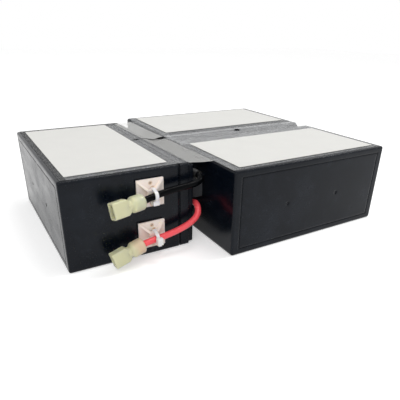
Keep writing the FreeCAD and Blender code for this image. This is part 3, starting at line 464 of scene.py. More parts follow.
@dataclass(frozen=True)
class StuckFilm:
    """Clear adhesive film: dark where it has wetted the plastic below, pale where it bridges a gap.

    Attributes:
        gap: Where the gap beside the left battery starts and ends.
        strip: Where the loose strip between the two right batteries' labels starts and ends.
        front: Where the left battery starts along Y.
        left_label: The place of the left label's outer edge.
        rear_ends: Where the left and the rear batteries' labels end along Y.
        joint: Where the two films meet.
        shelf: How wide the film lies half stuck beside the gap.
        skew: How far the crease moves left for each metre back.
        wander, wander_size: How far the stretches' edges stray, and over what length.
        free, fold, seam: Stretches measured from the gap's left edge; fold is painted shade along the
            crease where the film leaves the left lid.
        tuck, welt: Stretches measured from the gap's right edge; tuck is painted shade in the crease
            where the front film tucks down.
    """

    gap: tuple[float, float]
    strip: tuple[float, float]
    front: float
    left_label: float
    rear_ends: tuple[float, float]
    joint: float
    shelf: float
    name: str = "stuck_film"
    milk: Colour = (0.70, 0.71, 0.72)
    haze_colour: Colour = (0.74, 0.74, 0.72)
    # Near-black for the painted shade under lifted edges, in the hole and in the tuck's crease. The
    # outer and rear margins are also darkened towards it.
    painted_shade_and_margin_black: Colour = (0.004, 0.004, 0.005)
    shine: float = 0.35
    roughness: float = 0.28
    wetted_roughness: float = 0.14
    painted_shade_roughness: float = 0.6
    # How much duller and darker the film's outer and rear margins are.
    dust_roughness: float = 0.2
    dust_share: float = 0.85
    # How dark the painted shade is in the crease where the front film tucks down.
    tuck_shade_share: float = 0.7
    skew: float = 0.022
    wander: float = 2.0 * MM
    wander_size: float = 9 * MM
    bubble_size: float = 2.8 * MM
    soft_size: float = 24 * MM
    free: Band = Band(-0.8 * MM, 0.0, 0.9 * MM)
    crease_shade: Band = Band(-2.6 * MM, -0.8 * MM, 1.2 * MM)
    seam: Band = Band(-9.6 * MM, -5.4 * MM, 1.6 * MM)
    tuck_shade: Band = Band(-0.4 * MM, 0.7 * MM, 0.5 * MM)
    welt: Band = Band(0.9 * MM, 2.0 * MM, 0.8 * MM)
    edge: float = MM
    wetted: Patches = Patches(3.2 * MM, 0.4, 0.24, detail=5.0, rough=0.66)
    streaks: Patches = Patches(3 * MM, 0.36, 0.3, stretch=(0.16, 1.0, 1.0))
    ripple: Relief = Relief(5 * MM, 0.2 * MM, strength=0.4, stretch=(0.35, 1.0, 1.0))
    haze: Haze = Haze()

    def make(self) -> bpy.types.Material:
        """Return the material."""
        paint, haze, edge = Paint(self.name), self.haze, self.edge
        left, right = self.gap
        across, back = paint.along("X"), paint.along("Y")
        stray = (paint.cloud(self.wander_size, 2.0) - 0.5) * self.wander
        skewed = across + (back - self.front) * self.skew
        free = (skewed + stray * 0.2).between(left + self.free.start, right, self.free.soft)
        free = free * across.above(left - 5 * MM, edge)
        # Painted shade along the crease where the film leaves the left lid: the film is made clearer
        # there, so the black below shows.
        crease_shade = self.crease_shade.on(skewed, left)
        seam = self.seam.on(across, left)
        ahead = 1 - back.above(self.strip[0] - 2 * MM, 5 * MM)
        # Painted shade in the crease where the front film tucks down at the gap's right edge.
        tuck_shade = self.tuck_shade.on(across, right) * ahead
        welt = self.welt.on(across, right) * ahead
        strip = (back + stray).between(*self.strip, 2 * edge) * across.above(right, edge)
        shelf = across.between(right, right + self.shelf, edge)
        outer = 1 - across.above(self.left_label, edge)
        rear = (back.above(self.rear_ends[0], edge) * (1 - across.above(left, edge))
                + back.above(self.rear_ends[1], edge) * across.above(right, edge))
        far = back.above(self.joint - 0.5 * MM, edge)
        wetted, streaks = self.wetted.on(paint), self.streaks.on(paint)
        soft = paint.cloud(self.soft_size)
        bubbles = 1 - paint.cells(self.bubble_size).above(0.14, 0.1)
        stuck = (haze.stuck + wetted * haze.wetted + bubbles * haze.bubble + seam * haze.seam
                 - outer * (haze.outer + far * haze.outer_far))
        loose = (free * (haze.free + soft * haze.free_soft + far * haze.free_far)
                 + strip * (haze.strip + streaks * haze.strip) + shelf * wetted * haze.shelf)
        cover = ((stuck * (1 - free) + loose) * (1 - crease_shade * haze.crease_shade) + welt * haze.welt
                 # The painted highlight along the front edges.
                 + paint.mark("edge_highlight") * haze.edge_highlight)
        # Darker, duller film along the left battery's outer margin and along the rear margins.
        cover = cover + outer * haze.outer_darkening * (1 - rear) + rear * haze.rear_darkening
        dusty = outer * (1 - rear) + rear
        # Painted shade: black, opaque film on the walls under lifted edges and in the hole, and in the
        # tuck's crease.
        painted_shade = paint.mark("painted_shade") + tuck_shade * self.tuck_shade_share
        pale = paint.blend(free, self.milk, self.haze_colour)
        pale = paint.blend(dusty * self.dust_share, pale, self.painted_shade_and_margin_black)
        return paint.finish(
            Base_Color=paint.blend(painted_shade, pale, self.painted_shade_and_margin_black),
            Roughness=(self.roughness + wetted * self.wetted_roughness * (1 - free)
                       + painted_shade * self.painted_shade_roughness + dusty * self.dust_roughness),
            Alpha=(cover * (1 - painted_shade) + painted_shade).above(0.0, 1.0),
            Normal=self.ripple.on(paint),
            Specular_IOR_Level=self.shine,
        )


@dataclass(frozen=True)
class Foam:
    """Closed-cell foam: fine pores and a soft, dull face."""

    name: str
    colour: Colour
    pore: float = 0.9 * MM
    pore_depth: float = 0.25 * MM
    shade: float = 0.55
    roughness: float = 0.85

    def make(self) -> bpy.types.Material:
        """Return the material."""
        paint = Paint(self.name)
        pores = paint.cells(self.pore)
        tone = paint.cloud(6 * MM, 4.0)
        darker = tuple(level * self.shade for level in self.colour)
        return paint.finish(
            Base_Color=paint.blend(tone * 0.6 + pores * 0.3, self.colour, darker),
            Roughness=self.roughness,
            Normal=paint.bump(pores, self.pore_depth, 0.7),
        )


@dataclass(frozen=True)
class Insulation:
    """Soft vinyl on a wire or a boot: satin, with faint rubs along it."""

    name: str
    colour: Colour
    worn: Colour
    roughness: float = 0.3
    shine: float = 0.5
    rubs: Patches = Patches(5 * MM, 0.45, 0.3)
    rub_share: float = 0.5
    rub_roughness: float = 0.14
    skin: Relief = Relief(0.8 * MM, 0.03 * MM, strength=0.7)

    def make(self) -> bpy.types.Material:
        """Return the material."""
        paint = Paint(self.name)
        rubs = self.rubs.on(paint)
        return paint.finish(
            Base_Color=paint.blend(rubs * self.rub_share, self.colour, self.worn),
            Roughness=self.roughness + rubs * self.rub_roughness,
            Normal=self.skin.on(paint),
            Specular_IOR_Level=self.shine,
        )


@dataclass(frozen=True)
class Nylon:
    """Nylon: light goes into it and comes back tinted, and thin walls show what is behind.

    Attributes:
        spots: Places where something shows through or has stained it, with its reach and colour.
        reach: How far red, green and blue light go into it.
    """

    name: str
    colour: Colour
    deep: Colour
    roughness: float = 0.34
    clear: float = 0.0
    glow: float = 0.3
    spots: tuple[tuple[Point, float, Colour], ...] = ()
    spot_core: float = 0.45
    reach: Point = (3.5 * MM, 3.2 * MM, 2.0 * MM)
    skin: Relief = Relief(0.7 * MM, 0.03 * MM, strength=0.6, detail=2.0)

    def make(self) -> bpy.types.Material:
        """Return the material."""
        paint = Paint(self.name)
        flow = paint.cloud(7 * MM)
        colour = paint.blend(flow * 0.5, self.colour, self.deep)
        for place, reach, tint in self.spots:
            near = 1 - (paint.away(place) / reach).above(self.spot_core, 1.0 - self.spot_core)
            colour = paint.blend(near * (0.45 + flow * 0.5), colour, tint)
        return paint.finish(
            Base_Color=colour,
            Roughness=self.roughness + (flow - 0.5) * 0.16,
            Normal=self.skin.on(paint),
            IOR=1.53,
            Transmission_Weight=self.clear,
            Subsurface_Weight=self.glow,
            Subsurface_Radius=self.reach,
            Subsurface_Scale=1.0,
        )


@dataclass(frozen=True)
class Metal:
    """Plated or cast metal: brushed by the press, with dull patches."""

    name: str
    colour: Colour
    dull: Colour
    roughness: float = 0.28
    patches: Patches = Patches(4 * MM, 0.45, 0.25)
    patch_share: float = 0.5
    patch_roughness: float = 0.14
    brush_size: float = 0.6 * MM
    brush_depth: float = 0.02 * MM
    brush_change: float = 0.2

    def make(self) -> bpy.types.Material:
        """Return the material."""
        paint = Paint(self.name)
        patches = self.patches.on(paint)
        brushed = paint.cloud(self.brush_size, stretch=(0.15, 1.0, 1.0))
        return paint.finish(
            Base_Color=paint.blend(patches * self.patch_share, self.colour, self.dull),
            Metallic=1.0,
            Roughness=(self.roughness + patches * self.patch_roughness
                       + (brushed - 0.5) * self.brush_change),
            Normal=paint.bump(brushed, self.brush_depth, 0.6),
        )


def placed(name: str, data: bpy.types.ID) -> bpy.types.Object:
    """Return a new object in the scene that shows some data."""
    thing = bpy.data.objects.new(name, data)
    bpy.context.scene.collection.objects.link(thing)
    return thing


def side_gap() -> tuple[float, float]:
    """Return where the gap beside the left battery starts and ends."""
    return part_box("left_lid")[1].x - CROWN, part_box("front_container")[0].x


def halfway(start: Point, end: Point) -> Point:
    """Return the place halfway between two others."""
    return tuple((Vector(start) + Vector(end)) / 2)


def gate_marks() -> tuple[Point, ...]:
    """Return the two moulding gates on each battery's base."""
    places = []
    for name, across, base in (("left", 1, 0), ("front", 0, 0), ("rear", 0, 1)):
        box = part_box(f"{name}_container")
        for side in (-1.0, 1.0):
            place = (box[0] + box[1]) / 2
            place[across] += side * GATE_SPACING / 2
            place[1 - across] = box[base][1 - across]
            places.append(tuple(place))
    return tuple(places)


def mount_marks() -> list[Point]:
    """Return the places on the two cable mounts that the glue below has stained."""
    places = []
    for level in ("upper", "lower"):
        low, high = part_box(f"{level}_tie_mount")
        middle = (low.x + high.x) / 2
        for aside, drop in STAINS:
            places.append((middle + aside, high.y - MOUNT_BASE, high.z - drop))
    return places


class Wardrobe:
    """The finish of each material slot in the record."""

    def __init__(self) -> None:
        """Make every material once."""
        gap = side_gap()
        film = StuckFilm(
            gap=gap,
            strip=(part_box("front_label")[1].y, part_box("rear_label")[0].y - STRIP_STOP),
            front=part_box("left_container")[0].y,
            left_label=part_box("left_label")[0].x,
            rear_ends=(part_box("left_label")[1].y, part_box("rear_label")[1].y),
            joint=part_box(FilmHalf.FRONT.value)[1].y,
            shelf=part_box("front_label")[0].x - gap[1],
        )
        stains = tuple((place, STAIN_SIZE, STAIN_COLOUR) for place in mount_marks())
        wire_ends = ((halfway(*RED_ROUTE[-2:]), WIRE_END_SIZE, RED_SHOWING),
                     (halfway(*BLACK_ROUTE[-2:]), WIRE_END_SIZE, BLACK_SHOWING))
        black = grey(0.0035, 1.0)
        dust = grey(0.035, 0.4)
        finishes = {
            "case": MouldedPlastic("case_plastic", black, dust, dust_share=0.4, sinks=gate_marks()),
            "lid": MouldedPlastic("lid_plastic", black, dust, roughness=0.26, edge=0.8 * MM),
            "cover_plate": MouldedPlastic("vent_plate_plastic", black, dust,
                                          roughness=0.28, edge=0.6 * MM),
            "valve_rubber": Insulation("valve_rubber", grey(0.02), grey(0.04), roughness=0.6),
            "terminal_metal": Metal("tinned_terminal", (0.66, 0.65, 0.62), (0.42, 0.41, 0.38)),
            "terminal_seal": Insulation("sealing_resin", grey(0.02), grey(0.03), roughness=0.2),
            "plates": Foam("pasted_plates", grey(0.45)),
            "straps": Metal("cast_lead", grey(0.32, 0.05), grey(0.2, 0.05), roughness=0.5),
            "label": LabelStock(),
            "film": film,
            "foam": Foam("spacer_foam", grey(0.06, 0.1)),
            "wire_black": Insulation("black_insulation", grey(0.0015, 0.3), grey(0.003, 0.3),
                                     roughness=0.12, shine=0.05),
            "wire_red": Insulation("red_insulation", (0.96, 0.085, 0.105), (0.98, 0.13, 0.14),
                                   roughness=0.22),
            "nylon": Nylon("natural_nylon", (0.95, 0.93, 0.63), (0.88, 0.85, 0.50), clear=0.4, glow=0.4,
                           spots=wire_ends),
            "contact_metal": Metal("tinned_brass", (0.68, 0.65, 0.56), (0.48, 0.42, 0.3)),
            "sleeve": Insulation("vinyl_boot", grey(0.018), grey(0.04)),
            "mount_plastic": Nylon("mount_nylon", (0.97, 0.86, 0.78), (0.94, 0.78, 0.69), roughness=0.42,
                                   spots=stains),
            "tape": Foam("mount_tape", (0.72, 0.66, 0.58), pore=0.5 * MM),
            "tie": Nylon("tie_nylon", (0.84, 0.83, 0.82), (0.76, 0.74, 0.74), roughness=0.26),
        }
        self.materials = {slot: finish.make() for slot, finish in finishes.items()}

    def dress(self, piece: bpy.types.Object, slot: str) -> None:
        """Give a piece a slot's material.

        Args:
            piece: The piece to dress.
            slot: The record's material slot.
        """
        if piece.data.materials:
            for place in range(len(piece.data.materials)):
                piece.data.materials[place] = self.materials[slot]
        else:
            piece.data.materials.append(self.materials[slot])

    def dress_nodes(self) -> None:
        """Dress each CAD node as the record says."""
        for entry in frame["record"]["subparts"]:
            self.dress(frame["nodes"][entry["node"]], entry["material_slot"])


# ---------- pieces


def add_piece(name: str, mesh: bmesh.types.BMesh, wardrobe: Wardrobe, slot: str) -> bpy.types.Object:
    """Turn a built mesh into a dressed piece that rides on the cartridge.

    Args:
        name: The piece's name.
        mesh: Its mesh, which is freed.
        wardrobe: The finishes.
        slot: The material slot it takes its finish from.

    Returns:
        The piece.
    """
    data = bpy.data.meshes.new(name)
    mesh.to_mesh(data)
    mesh.free()
    data.shade_smooth()
    data.set_sharp_from_angle(angle=SHEET_SMOOTH)
    piece = placed(name, data)
    wardrobe.dress(piece, slot)
    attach(piece, BODY)
    return piece


class FilmHalf(Enum):
    """The two films that cover the batteries."""

    FRONT = "cover_film_front"
    REAR = "cover_film_rear"


def eased(share: float) -> float:
    """Return a smooth rise from 0 to 1 as a share goes from 0 to 1."""
    share = min(1.0, max(0.0, share))
    return share * share * (3.0 - 2.0 * share)


# The rear film's edge over the gap: shares of the gap's width, and millimetres behind the joint.
LIP = ((0.0, 0.9), (0.08, -0.6), (0.17, -3.0), (0.26, -4.6), (0.35, -4.9), (0.43, -3.9), (0.5, -2.6),
       (0.7, -0.4), (0.9, 0.8), (1.0, 0.6))


def followed(knots: Sequence[tuple[float, float]], place: float) -> float:
    """Return the height at a place of a line through knots."""
    for (start, low), (end, high) in zip(knots, knots[1:]):
        if place <= end:
            return low + (high - low) * max(0.0, place - start) / (end - start)
    return knots[-1][1]


@dataclass
class CoverFilm:
    """One adhesive film, in three sheets: on the left battery, across the side gap and on the right.

    Attributes:
        cell, long_cell: The mesh's spacing across and along the gap.
        wide_cell, fine_cell: Its spacing where the film lies flat, and at the seam and the hole.
        short: How far short of the joint each film stops on the right batteries.
        overhang: How far the front film reaches past the left battery, at the gap's right edge.
        slant: How much less it reaches at the left edge.
        droop: How far its rear end is drawn forward there, and the power by which that grows.
        hole: The middle of the hole in the front film, and its half width and half depth.
        dimple: The hollow before the hole: its depth, its distance from the middle and its reach.
        pucker: The rise behind the hole: its height and its reach.
        step: How far the rear film sinks near the joint, where that ends and over what length.
        seam: How far left of the gap the joint crosses the left battery's seam.
        slit: How far the joint opens there, how far away it is closed and how far it takes to close.
    """

    half: FilmHalf
    cell: float = 0.8 * MM
    wide_cell: float = 2.5 * MM
    long_cell: float = 1.5 * MM
    fine_cell: float = 0.3 * MM
    thickness: float = 0.15 * MM
    sag: float = 0.85 * MM
    margin: float = 2.2 * MM
    inset: float = 0.5 * MM
    short: tuple[float, float] = (0.1 * MM, 0.2 * MM)
    overhang: float = 4.3 * MM
    slant: float = 5.0 * MM
    droop: tuple[float, float] = (6.0 * MM, 1.4)
    # How wide the painted highlight along the front edge is.
    edge_highlight: float = 0.9 * MM
    hole: tuple[float, float, float, float] = (52.9 * MM, 5.4 * MM, 3.1 * MM, 1.8 * MM)
    dimple: tuple[float, float, float] = (0.6 * MM, 2.6 * MM, 3.4 * MM)
    pucker: tuple[float, float] = (0.25 * MM, 1.2 * MM)
    trough: float = 0.5 * MM
    step: tuple[float, float, float] = (0.2 * MM, 12.5 * MM, 2 * MM)
    seam: float = 7.55 * MM
    slit: tuple[float, float, float] = (0.9 * MM, 2.04 * MM, 1.2 * MM)
    lift: float = 0.08 * MM
    low: Vector = field(init=False)
    high: Vector = field(init=False)
    gap: tuple[float, float] = field(init=False)
    joint: float = field(init=False)
    case_ends: tuple[float, float] = field(init=False)
    lids: tuple[float, float] = field(init=False)

    def __post_init__(self) -> None:
        """Read the edges of the film and of the gaps from the frame."""
        self.low, self.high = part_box(self.half.value)
        self.gap = side_gap()
        self.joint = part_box(FilmHalf.FRONT.value)[1].y
        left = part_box("left_container")
        self.case_ends = (left[0].y, left[1].y)
        self.lids = (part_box("front_lid")[1].y - CROWN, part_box("rear_lid")[0].y + CROWN)

    def lip(self, share: float) -> float:
        """Return the rear film's front edge over the gap, where it curls over the front film."""
        return self.joint + followed(LIP, share) * MM

    def gape(self, x: float) -> float:
        """Return the share by which the joint opens at a place, near the left battery's seam."""
        _, end, fade = self.slit
        return eased((end - abs(x - self.gap[0] + self.seam)) / fade)

    def ends(self, x: float, share: float | None) -> tuple[float, float]:
        """Return where the film starts and ends along Y.

        Args:
            x: The place across.
            share: The share of the gap's width, or nothing away from the gap.

        Returns:
            The film's front and rear ends there.
        """
        on_left = share is None and x < self.gap[0]
        opening = self.slit[0] * self.gape(x)
        if self.half is FilmHalf.FRONT:
            if share is not None:
                front = self.case_ends[0] - self.overhang + self.slant * (1.0 - share)
                return front, self.joint - self.droop[0] * share**self.droop[1]
            if on_left:
                return self.case_ends[0] + self.margin, self.joint - opening
            return self.low.y + self.inset, self.high.y - self.short[0]
        if share is not None:
            return self.lip(share), self.case_ends[1] - self.margin
        if on_left:
            return self.lip(0.0) + opening, self.case_ends[1] - self.margin
        return self.low.y + self.short[1], self.high.y - self.margin

    def height(self, x: float, y: float, share: float | None) -> float:
        """Return the film's top at a place.

        Args:
            x: The place across.
            y: The place along.
            share: The share of the gap's width, or nothing away from the gap.

        Returns:
            The height of the film's upper face.
        """
        top = self.high.z
        if share is None:
            if x < self.gap[0]:
                return top
            place = (y - self.lids[0]) / (self.lids[1] - self.lids[0])
            trough = max(0.0, 4.0 * place * (1.0 - place)) * self.trough
            if self.half is FilmHalf.REAR:
                drop, end, fade = self.step
                return top - max(trough, drop * eased((end - y) / fade))
            x_hole, y_hole, half_width, half_depth = self.hole
            beside = math.exp(-(((x - x_hole) / (1.4 * half_width)) ** 2))
            depth, before, reach = self.dimple
            dimple = beside * depth * eased(1.0 - abs(y - y_hole + before) / reach)
            rise, reach = self.pucker
            pucker = beside * rise * eased(1.0 - abs(y - y_hole - half_depth) / reach)
            return top - trough - dimple + pucker
        bowl = 4.0 * share * (1.0 - share)
        ripple = 0.5 + 0.5 * noise.noise(Vector((x * 120, y * 60, 3.0)))
        if self.half is FilmHalf.FRONT:
            tight = eased((y - self.case_ends[0]) / (30 * MM))
            near = eased((y - self.joint + 12 * MM) / (8 * MM))
            tucked = near * eased(share / 0.12) * 0.25 * MM * (1.0 - eased(share - 0.5))
            dropped = near * bowl * 0.35 * MM
            return top - bowl * self.sag * (0.3 + 0.4 * tight + 0.1 * ripple) - tucked - dropped
        raised = eased((y - self.lip(share)) / (14 * MM))
        return top - bowl * self.sag * (0.12 + 0.6 * raised + 0.1 * ripple)

    def hang_shade_wall(self, mesh: bmesh.types.BMesh, line: Sequence[tuple[float, float, float, float]]) -> None:
        """Hang a wall along a line, painted black and opaque as the shade under a lifted edge.

        Args:
            mesh: The mesh to add to.
            line: Its places, each with its top and its bottom.
        """
        painted_shade = mesh.verts.layers.float["painted_shade"]
        posts = []
        for x, y, top, bottom in line:
            post = [mesh.verts.new((x, y, z)) for z in (bottom, top)]
            for vertex in post:
                vertex[painted_shade] = 1.0
            posts.append(post)
        for (low, high), (next_low, next_high) in zip(posts, posts[1:]):
            mesh.faces.new((low, next_low, next_high, high))

    def roll_lip(self, mesh: bmesh.types.BMesh) -> None:
        """Roll down the rear film's front edge, from the left label to its end over the gap, with its
        wall painted black as the shade under the lifted edge.
        """
        left, right = self.gap
        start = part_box("left_label")[1].x
        spacing, ahead = 0.5 * MM, 0.05 * MM
        line = []
        for x in self.lines(start, left, spacing):
            front = self.ends(x, None)[0]
            gape = self.gape(x)
            far = 1.0 - eased((x - left + self.seam) / self.seam)
            top = self.high.z + self.lift + 0.12 * MM * gape
            drop = self.lift + (0.14 * far + 0.9 * gape) * MM
            line.append((x, front - ahead, top, self.high.z - drop))
        for x in self.lines(left + spacing, left + 0.42 * (right - left), spacing):
            share = (x - left) / (right - left)
            y = self.lip(share)
            top = self.height(x, y, share)
            line.append((x, y - ahead, top, top - (0.15 + 0.35 * eased(share / 0.15)) * MM))
        self.hang_shade_wall(mesh, line)

    def line_hole(self, mesh: bmesh.types.BMesh) -> None:
        """Turn down the rear edge of the hole in the front film, with its wall painted black as the
        shade seen through the hole.
        """
        x_hole, y_hole, half_width, half_depth = self.hole
        line = []
        steps = 12
        for step in range(-steps, steps + 1):
            part = step / steps
            reach = half_depth * math.sqrt(1.0 - part * part)
            x = x_hole + half_width * part
            top = self.height(x, y_hole + reach, None)
            line.append((x, y_hole + reach, top, top - 0.72 * reach))
        self.hang_shade_wall(mesh, line)

    @staticmethod
    def lines(start: float, end: float, cell: float,
              close: Sequence[tuple[float, float, float]] = ()) -> list[float]:
        """Return places from a start to an end, closer together in chosen spans.

        Args:
            start: The first place.
            end: The last place.
            cell: The spacing.
            close: Spans that take a spacing of their own.

        Returns:
            The places, in order.
        """
        places = [start]
        while places[-1] < end:
            here = places[-1]
            steps = [fine for low, high, fine in close if low <= here + cell and here < high]
            places.append(min(end, here + min([cell, *steps])))
        if len(places) > 2 and places[-1] - places[-2] < 0.2 * cell:
            del places[-2]
        return places

    def add_sheet(self, mesh: bmesh.types.BMesh, columns: Sequence[float], shares: Sequence[float],
                  bridging: bool) -> None:
        """Add one sheet of cells between the film's ends.

        Args:
            mesh: The mesh to add to.
            columns: The sheet's places across.
            shares: Its rows, as shares of the way from the front end to the rear end.
            bridging: Whether the sheet lies over the gap.
        """
        x_hole, y_hole, half_width, half_depth = self.hole
        # Mark the painted highlight along the front edge, strongest on the front film over the gap.
        edge_highlight = mesh.verts.layers.float["edge_highlight"]
        strong = 1.0 if bridging and self.half is FilmHalf.FRONT else 0.25
        corners: list[list[bmesh.types.BMVert]] = []
        for x in columns:
            across = (x - columns[0]) / (columns[-1] - columns[0]) if bridging else None
            front, rear = self.ends(x, across)
            rows = [front + (rear - front) * share for share in shares]
            corners.append([mesh.verts.new((x, y, self.height(x, y, across))) for y in rows])
            for vertex in corners[-1]:
                near = 1.0 - (vertex.co.y - front) / self.edge_highlight
                vertex[edge_highlight] = max(0.0, near) * strong
        for first, second in zip(corners, corners[1:]):
            for j in range(len(shares) - 1):
                ring = (first[j], second[j], second[j + 1], first[j + 1])
                x = sum(vertex.co.x for vertex in ring) / 4
                y = sum(vertex.co.y for vertex in ring) / 4
                cut = ((x - x_hole) / half_width) ** 2 + ((y - y_hole) / half_depth) ** 2 < 1.0
                if not (cut and self.half is FilmHalf.FRONT):
                    mesh.faces.new(ring)

    def build(self, wardrobe: Wardrobe) -> bpy.types.Object:
        """Build the film.

        Args:
            wardrobe: The finishes.

        Returns:
            The film.
        """
        mesh = bmesh.new()
        # Two marks for the material: a painted highlight along the front edges, and painted shade on the
        # walls under lifted edges.
        for name in ("edge_highlight", "painted_shade"):
            mesh.verts.layers.float.new(name)
        left, right = self.gap
        seam = left - self.seam
        apart = 0.01 * MM
        x_hole, y_hole, half_width, half_depth = self.hole
        by_seam = (seam - 2 * MM, seam + 2 * MM, self.fine_cell)
        over_hole = (x_hole - half_width, x_hole + half_width, self.fine_cell)
        along_hole = (y_hole - half_depth, y_hole + half_depth, 0.2 * MM)
        spans = (
            (self.lines(self.low.x, left - apart, self.wide_cell, [by_seam]), False, ()),
            (self.lines(left, right, self.cell), True, ()),
            (self.lines(right + apart, self.high.x, self.wide_cell, [over_hole]), False, (along_hole,)),
        )
        for columns, bridging, close in spans:
            front, rear = self.ends(columns[-1], 1.0 if bridging else None)
            near = (front, front + 2 * self.edge_highlight, 0.4 * MM)
            cell = self.long_cell if bridging else self.wide_cell
            rows = self.lines(front, rear, cell, (near, *close))
            shares = [(y - front) / (rear - front) for y in rows]
            self.add_sheet(mesh, columns, shares, bridging)
        if self.half is FilmHalf.REAR:
            self.roll_lip(mesh)
        else:
            self.line_hole(mesh)
        bmesh.ops.recalc_face_normals(mesh, faces=mesh.faces)
        film = add_piece(f"{self.half.value}_sheet", mesh, wardrobe, "film")
        skin = film.modifiers.new("thickness", "SOLIDIFY")
        skin.thickness = self.thickness
        skin.offset = -1.0
        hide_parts(self.half.value)
        return film


@dataclass
class Lead:
    """A free lead from its flag terminal to its connector.

    Attributes:
        name: The CAD node it stands for.
        colour: The first word of its connector's nodes; not used.
    """

    name: str
    slot: str
    colour: str
    length: float
    route: Sequence[Point]
    diameter: float = 4.7 * MM

    def build(self, wardrobe: Wardrobe) -> bpy.types.Object:
        """Build the lead as one smooth curve.

        Args:
            wardrobe: The finishes.

        Returns:
            The lead.
        """
        curve = bpy.data.curves.new(f"{self.name}_wire", "CURVE")
        curve.dimensions = "3D"
        line = curve.splines.new("NURBS")
        line.points.add(len(self.route) - 1)
        for point, place in zip(line.points, self.route):
            point.co = (*place, 1.0)
        line.order_u = 3
        line.use_endpoint_u = True
        line.resolution_u = 12
        curve.bevel_depth = self.diameter / 2
        curve.bevel_resolution = 7
        curve.use_fill_caps = True
        lead = placed(f"{self.name}_wire", curve)
        wardrobe.dress(lead, self.slot)
        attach(lead, BODY)
        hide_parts(self.name)
        return lead


# The leads' centre lines, in metres, each from its terminal to its connector.
BLACK_ROUTE = (
    (-0.0308, -0.0656, 0.0545), (-0.0308, -0.0707, 0.0545), (-0.0350, -0.0748, 0.0524),
    (-0.0440, -0.0754, 0.0516), (-0.0555, -0.0753, 0.0507), (-0.0635, -0.0753, 0.0496),
    (-0.0704, -0.0755, 0.0483), (-0.0782, -0.0764, 0.0469), (-0.0853, -0.0780, 0.0466),
)
RED_ROUTE = (
    (-0.0196, 0.0002, 0.0105), (-0.0250, 0.0002, 0.0105), (-0.0290, -0.0034, 0.0112),
    (-0.0290, -0.0098, 0.0132), (-0.0287, -0.0190, 0.0164), (-0.0288, -0.0294, 0.0199),
    (-0.0291, -0.0396, 0.0236), (-0.0298, -0.0488, 0.0270), (-0.0306, -0.0566, 0.0299),
    (-0.0312, -0.0634, 0.0324), (-0.0320, -0.0688, 0.0308), (-0.0336, -0.0718, 0.0264),
    (-0.0386, -0.0734, 0.0227), (-0.0460, -0.0744, 0.0200), (-0.0554, -0.0750, 0.0179),
    (-0.0634, -0.0752, 0.0166), (-0.0706, -0.0755, 0.0158), (-0.0798, -0.0766, 0.0152),
    (-0.0866, -0.0772, 0.0133),
)


# ---------- stage


@dataclass(frozen=True)
class Viewpoint:
    """The camera: where it stands, how it is turned and its lens.

    Attributes:
        yaw, pitch, roll: Its turn from +Y towards +X, its look down and its tilt, in radians.
        lens: Its focal length in millimetres on a 36 mm sensor.
    """

    place: Point = (-0.173873, -0.311771, 0.150143)
    yaw: float = 0.549789
    pitch: float = 0.455090
    roll: float = 0.023382
    lens: float = 36.72
    shift: tuple[float, float] = (-0.01375, 0.0719)

    def build(self) -> None:
        """Make the camera and use it."""
        camera = placed("camera", bpy.data.cameras.new("camera"))
        camera.data.lens = self.lens
        camera.data.shift_x, camera.data.shift_y = self.shift
        camera.data.clip_start = 0.01
        ahead = Vector((math.sin(self.yaw) * math.cos(self.pitch),
                        math.cos(self.yaw) * math.cos(self.pitch), -math.sin(self.pitch)))
        level = Vector((math.cos(self.yaw), -math.sin(self.yaw), 0.0))
        rise = level.cross(ahead)
        right = level * math.cos(self.roll) + rise * math.sin(self.roll)
        up = rise * math.cos(self.roll) - level * math.sin(self.roll)
        turn = Matrix((right, up, -ahead)).transposed().to_4x4()
        camera.matrix_world = Matrix.Translation(self.place) @ turn
        bpy.context.scene.camera = camera


@dataclass(frozen=True)
class Lamp:
    """A soft oblong lamp that faces the cartridge, with its power in watts."""

    name: str
    place: Point
    size: tuple[float, float]
    power: float

    def build(self) -> None:
        """Hang the lamp."""
        light = bpy.data.lights.new(self.name, "AREA")
        light.shape = "RECTANGLE"
        light.size, light.size_y = self.size
        light.energy = self.power
        lamp = placed(self.name, light)
        lamp.location = self.place
        lamp.rotation_euler = (-Vector(self.place)).to_track_quat("-Z", "Y").to_euler()


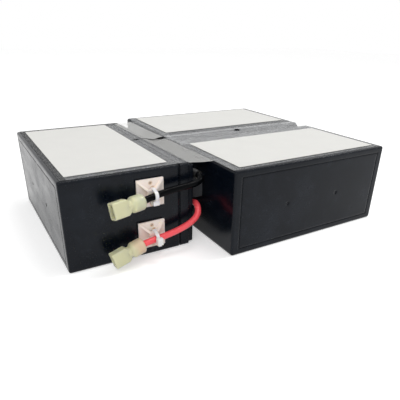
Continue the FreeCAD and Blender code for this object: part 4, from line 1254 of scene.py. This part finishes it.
@dataclass(frozen=True)
class Studio:
    """White floor and soft light.

    Attributes:
        floor_lift: Light that the floor adds where the camera, gloss or clear pieces see it.
        sky: Strength of the light from all round.
        key: The large lamp on the front left.
        edge: The strip lamp that picks out the left battery's edge.
        gloss: The small lamp that lights the right battery's edge.
    """

    floor_size: float = 6.0
    floor_drop: float = 0.1 * MM
    floor_level: float = 0.86
    floor_lift: float = 0.42
    sky: float = 0.64
    key: Lamp = Lamp("key", (-0.5, -0.78, 0.82), (0.6, 0.6), 3.2)
    edge: Lamp = Lamp("edge_light", (0.3, -0.13, 1.15), (0.06, 0.5), 3.0)
    gloss: Lamp = Lamp("gloss_light", (0.85, -0.17, 0.89), (0.15, 0.15), 1.5)

    @staticmethod
    def _seen(tree: bpy.types.NodeTree) -> Value:
        """Return 1 for rays from the camera, gloss and clear pieces, and 0 for others."""
        rays = tree.nodes.new("ShaderNodeLightPath")
        camera, gloss, clear = (Value(tree, rays.outputs[name]) for name in
                                ("Is Camera Ray", "Is Glossy Ray", "Is Transmission Ray"))
        return (camera + gloss + clear).above(0.0, 1.0)

    def build_floor(self) -> None:
        """Lay the floor under the cartridge."""
        half = self.floor_size / 2
        data = bpy.data.meshes.new("floor")
        corners = ((-half, -half), (half, -half), (half, half), (-half, half))
        data.from_pydata([(x, y, -self.floor_drop) for x, y in corners], [], [(0, 1, 2, 3)])
        floor = placed("floor", data)
        paint = Paint("floor_white")
        lift = paint.blend(self._seen(paint.tree), grey(0.0), grey(self.floor_lift))
        data.materials.append(paint.finish(
            Base_Color=(*grey(self.floor_level), 1.0), Roughness=0.9, Specular_IOR_Level=0.1,
            Emission_Color=lift, Emission_Strength=1.0,
        ))

    def build_sky(self) -> None:
        """Light the world evenly, and show it white."""
        world = bpy.data.worlds.new("studio")
        world.use_nodes = True
        tree = world.node_tree
        tree.nodes.clear()
        seen = self._seen(tree)
        strength = seen * (1.0 - self.sky) + self.sky
        back = tree.nodes.new("ShaderNodeBackground")
        back.inputs["Color"].default_value = (1.0, 1.0, 1.0, 1.0)
        tree.links.new(strength.socket, back.inputs["Strength"])
        out = tree.nodes.new("ShaderNodeOutputWorld")
        tree.links.new(back.outputs[0], out.inputs["Surface"])
        bpy.context.scene.world = world

    def build(self) -> None:
        """Set up the floor, the world and the lamps."""
        bpy.context.scene.view_settings.view_transform = "Standard"
        self.build_floor()
        self.build_sky()
        for lamp in (self.key, self.edge, self.gloss):
            lamp.build()


def main() -> None:
    """Build the scene and report each piece."""
    logging.basicConfig(level=logging.INFO, format="%(name)s: %(message)s")
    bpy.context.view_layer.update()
    Studio().build()
    Viewpoint().build()
    wardrobe = Wardrobe()
    wardrobe.dress_nodes()
    leads = (
        Lead("black_lead", "wire_black", "black", 0.0617, BLACK_ROUTE),
        Lead("red_lead", "wire_red", "red", 0.1404, RED_ROUTE),
    )
    for part in (*leads, *(CoverFilm(half) for half in FilmHalf)):
        piece = part.build(wardrobe)
        LOG.info("built %s", piece.name)


if __name__ == "__main__":
    main()
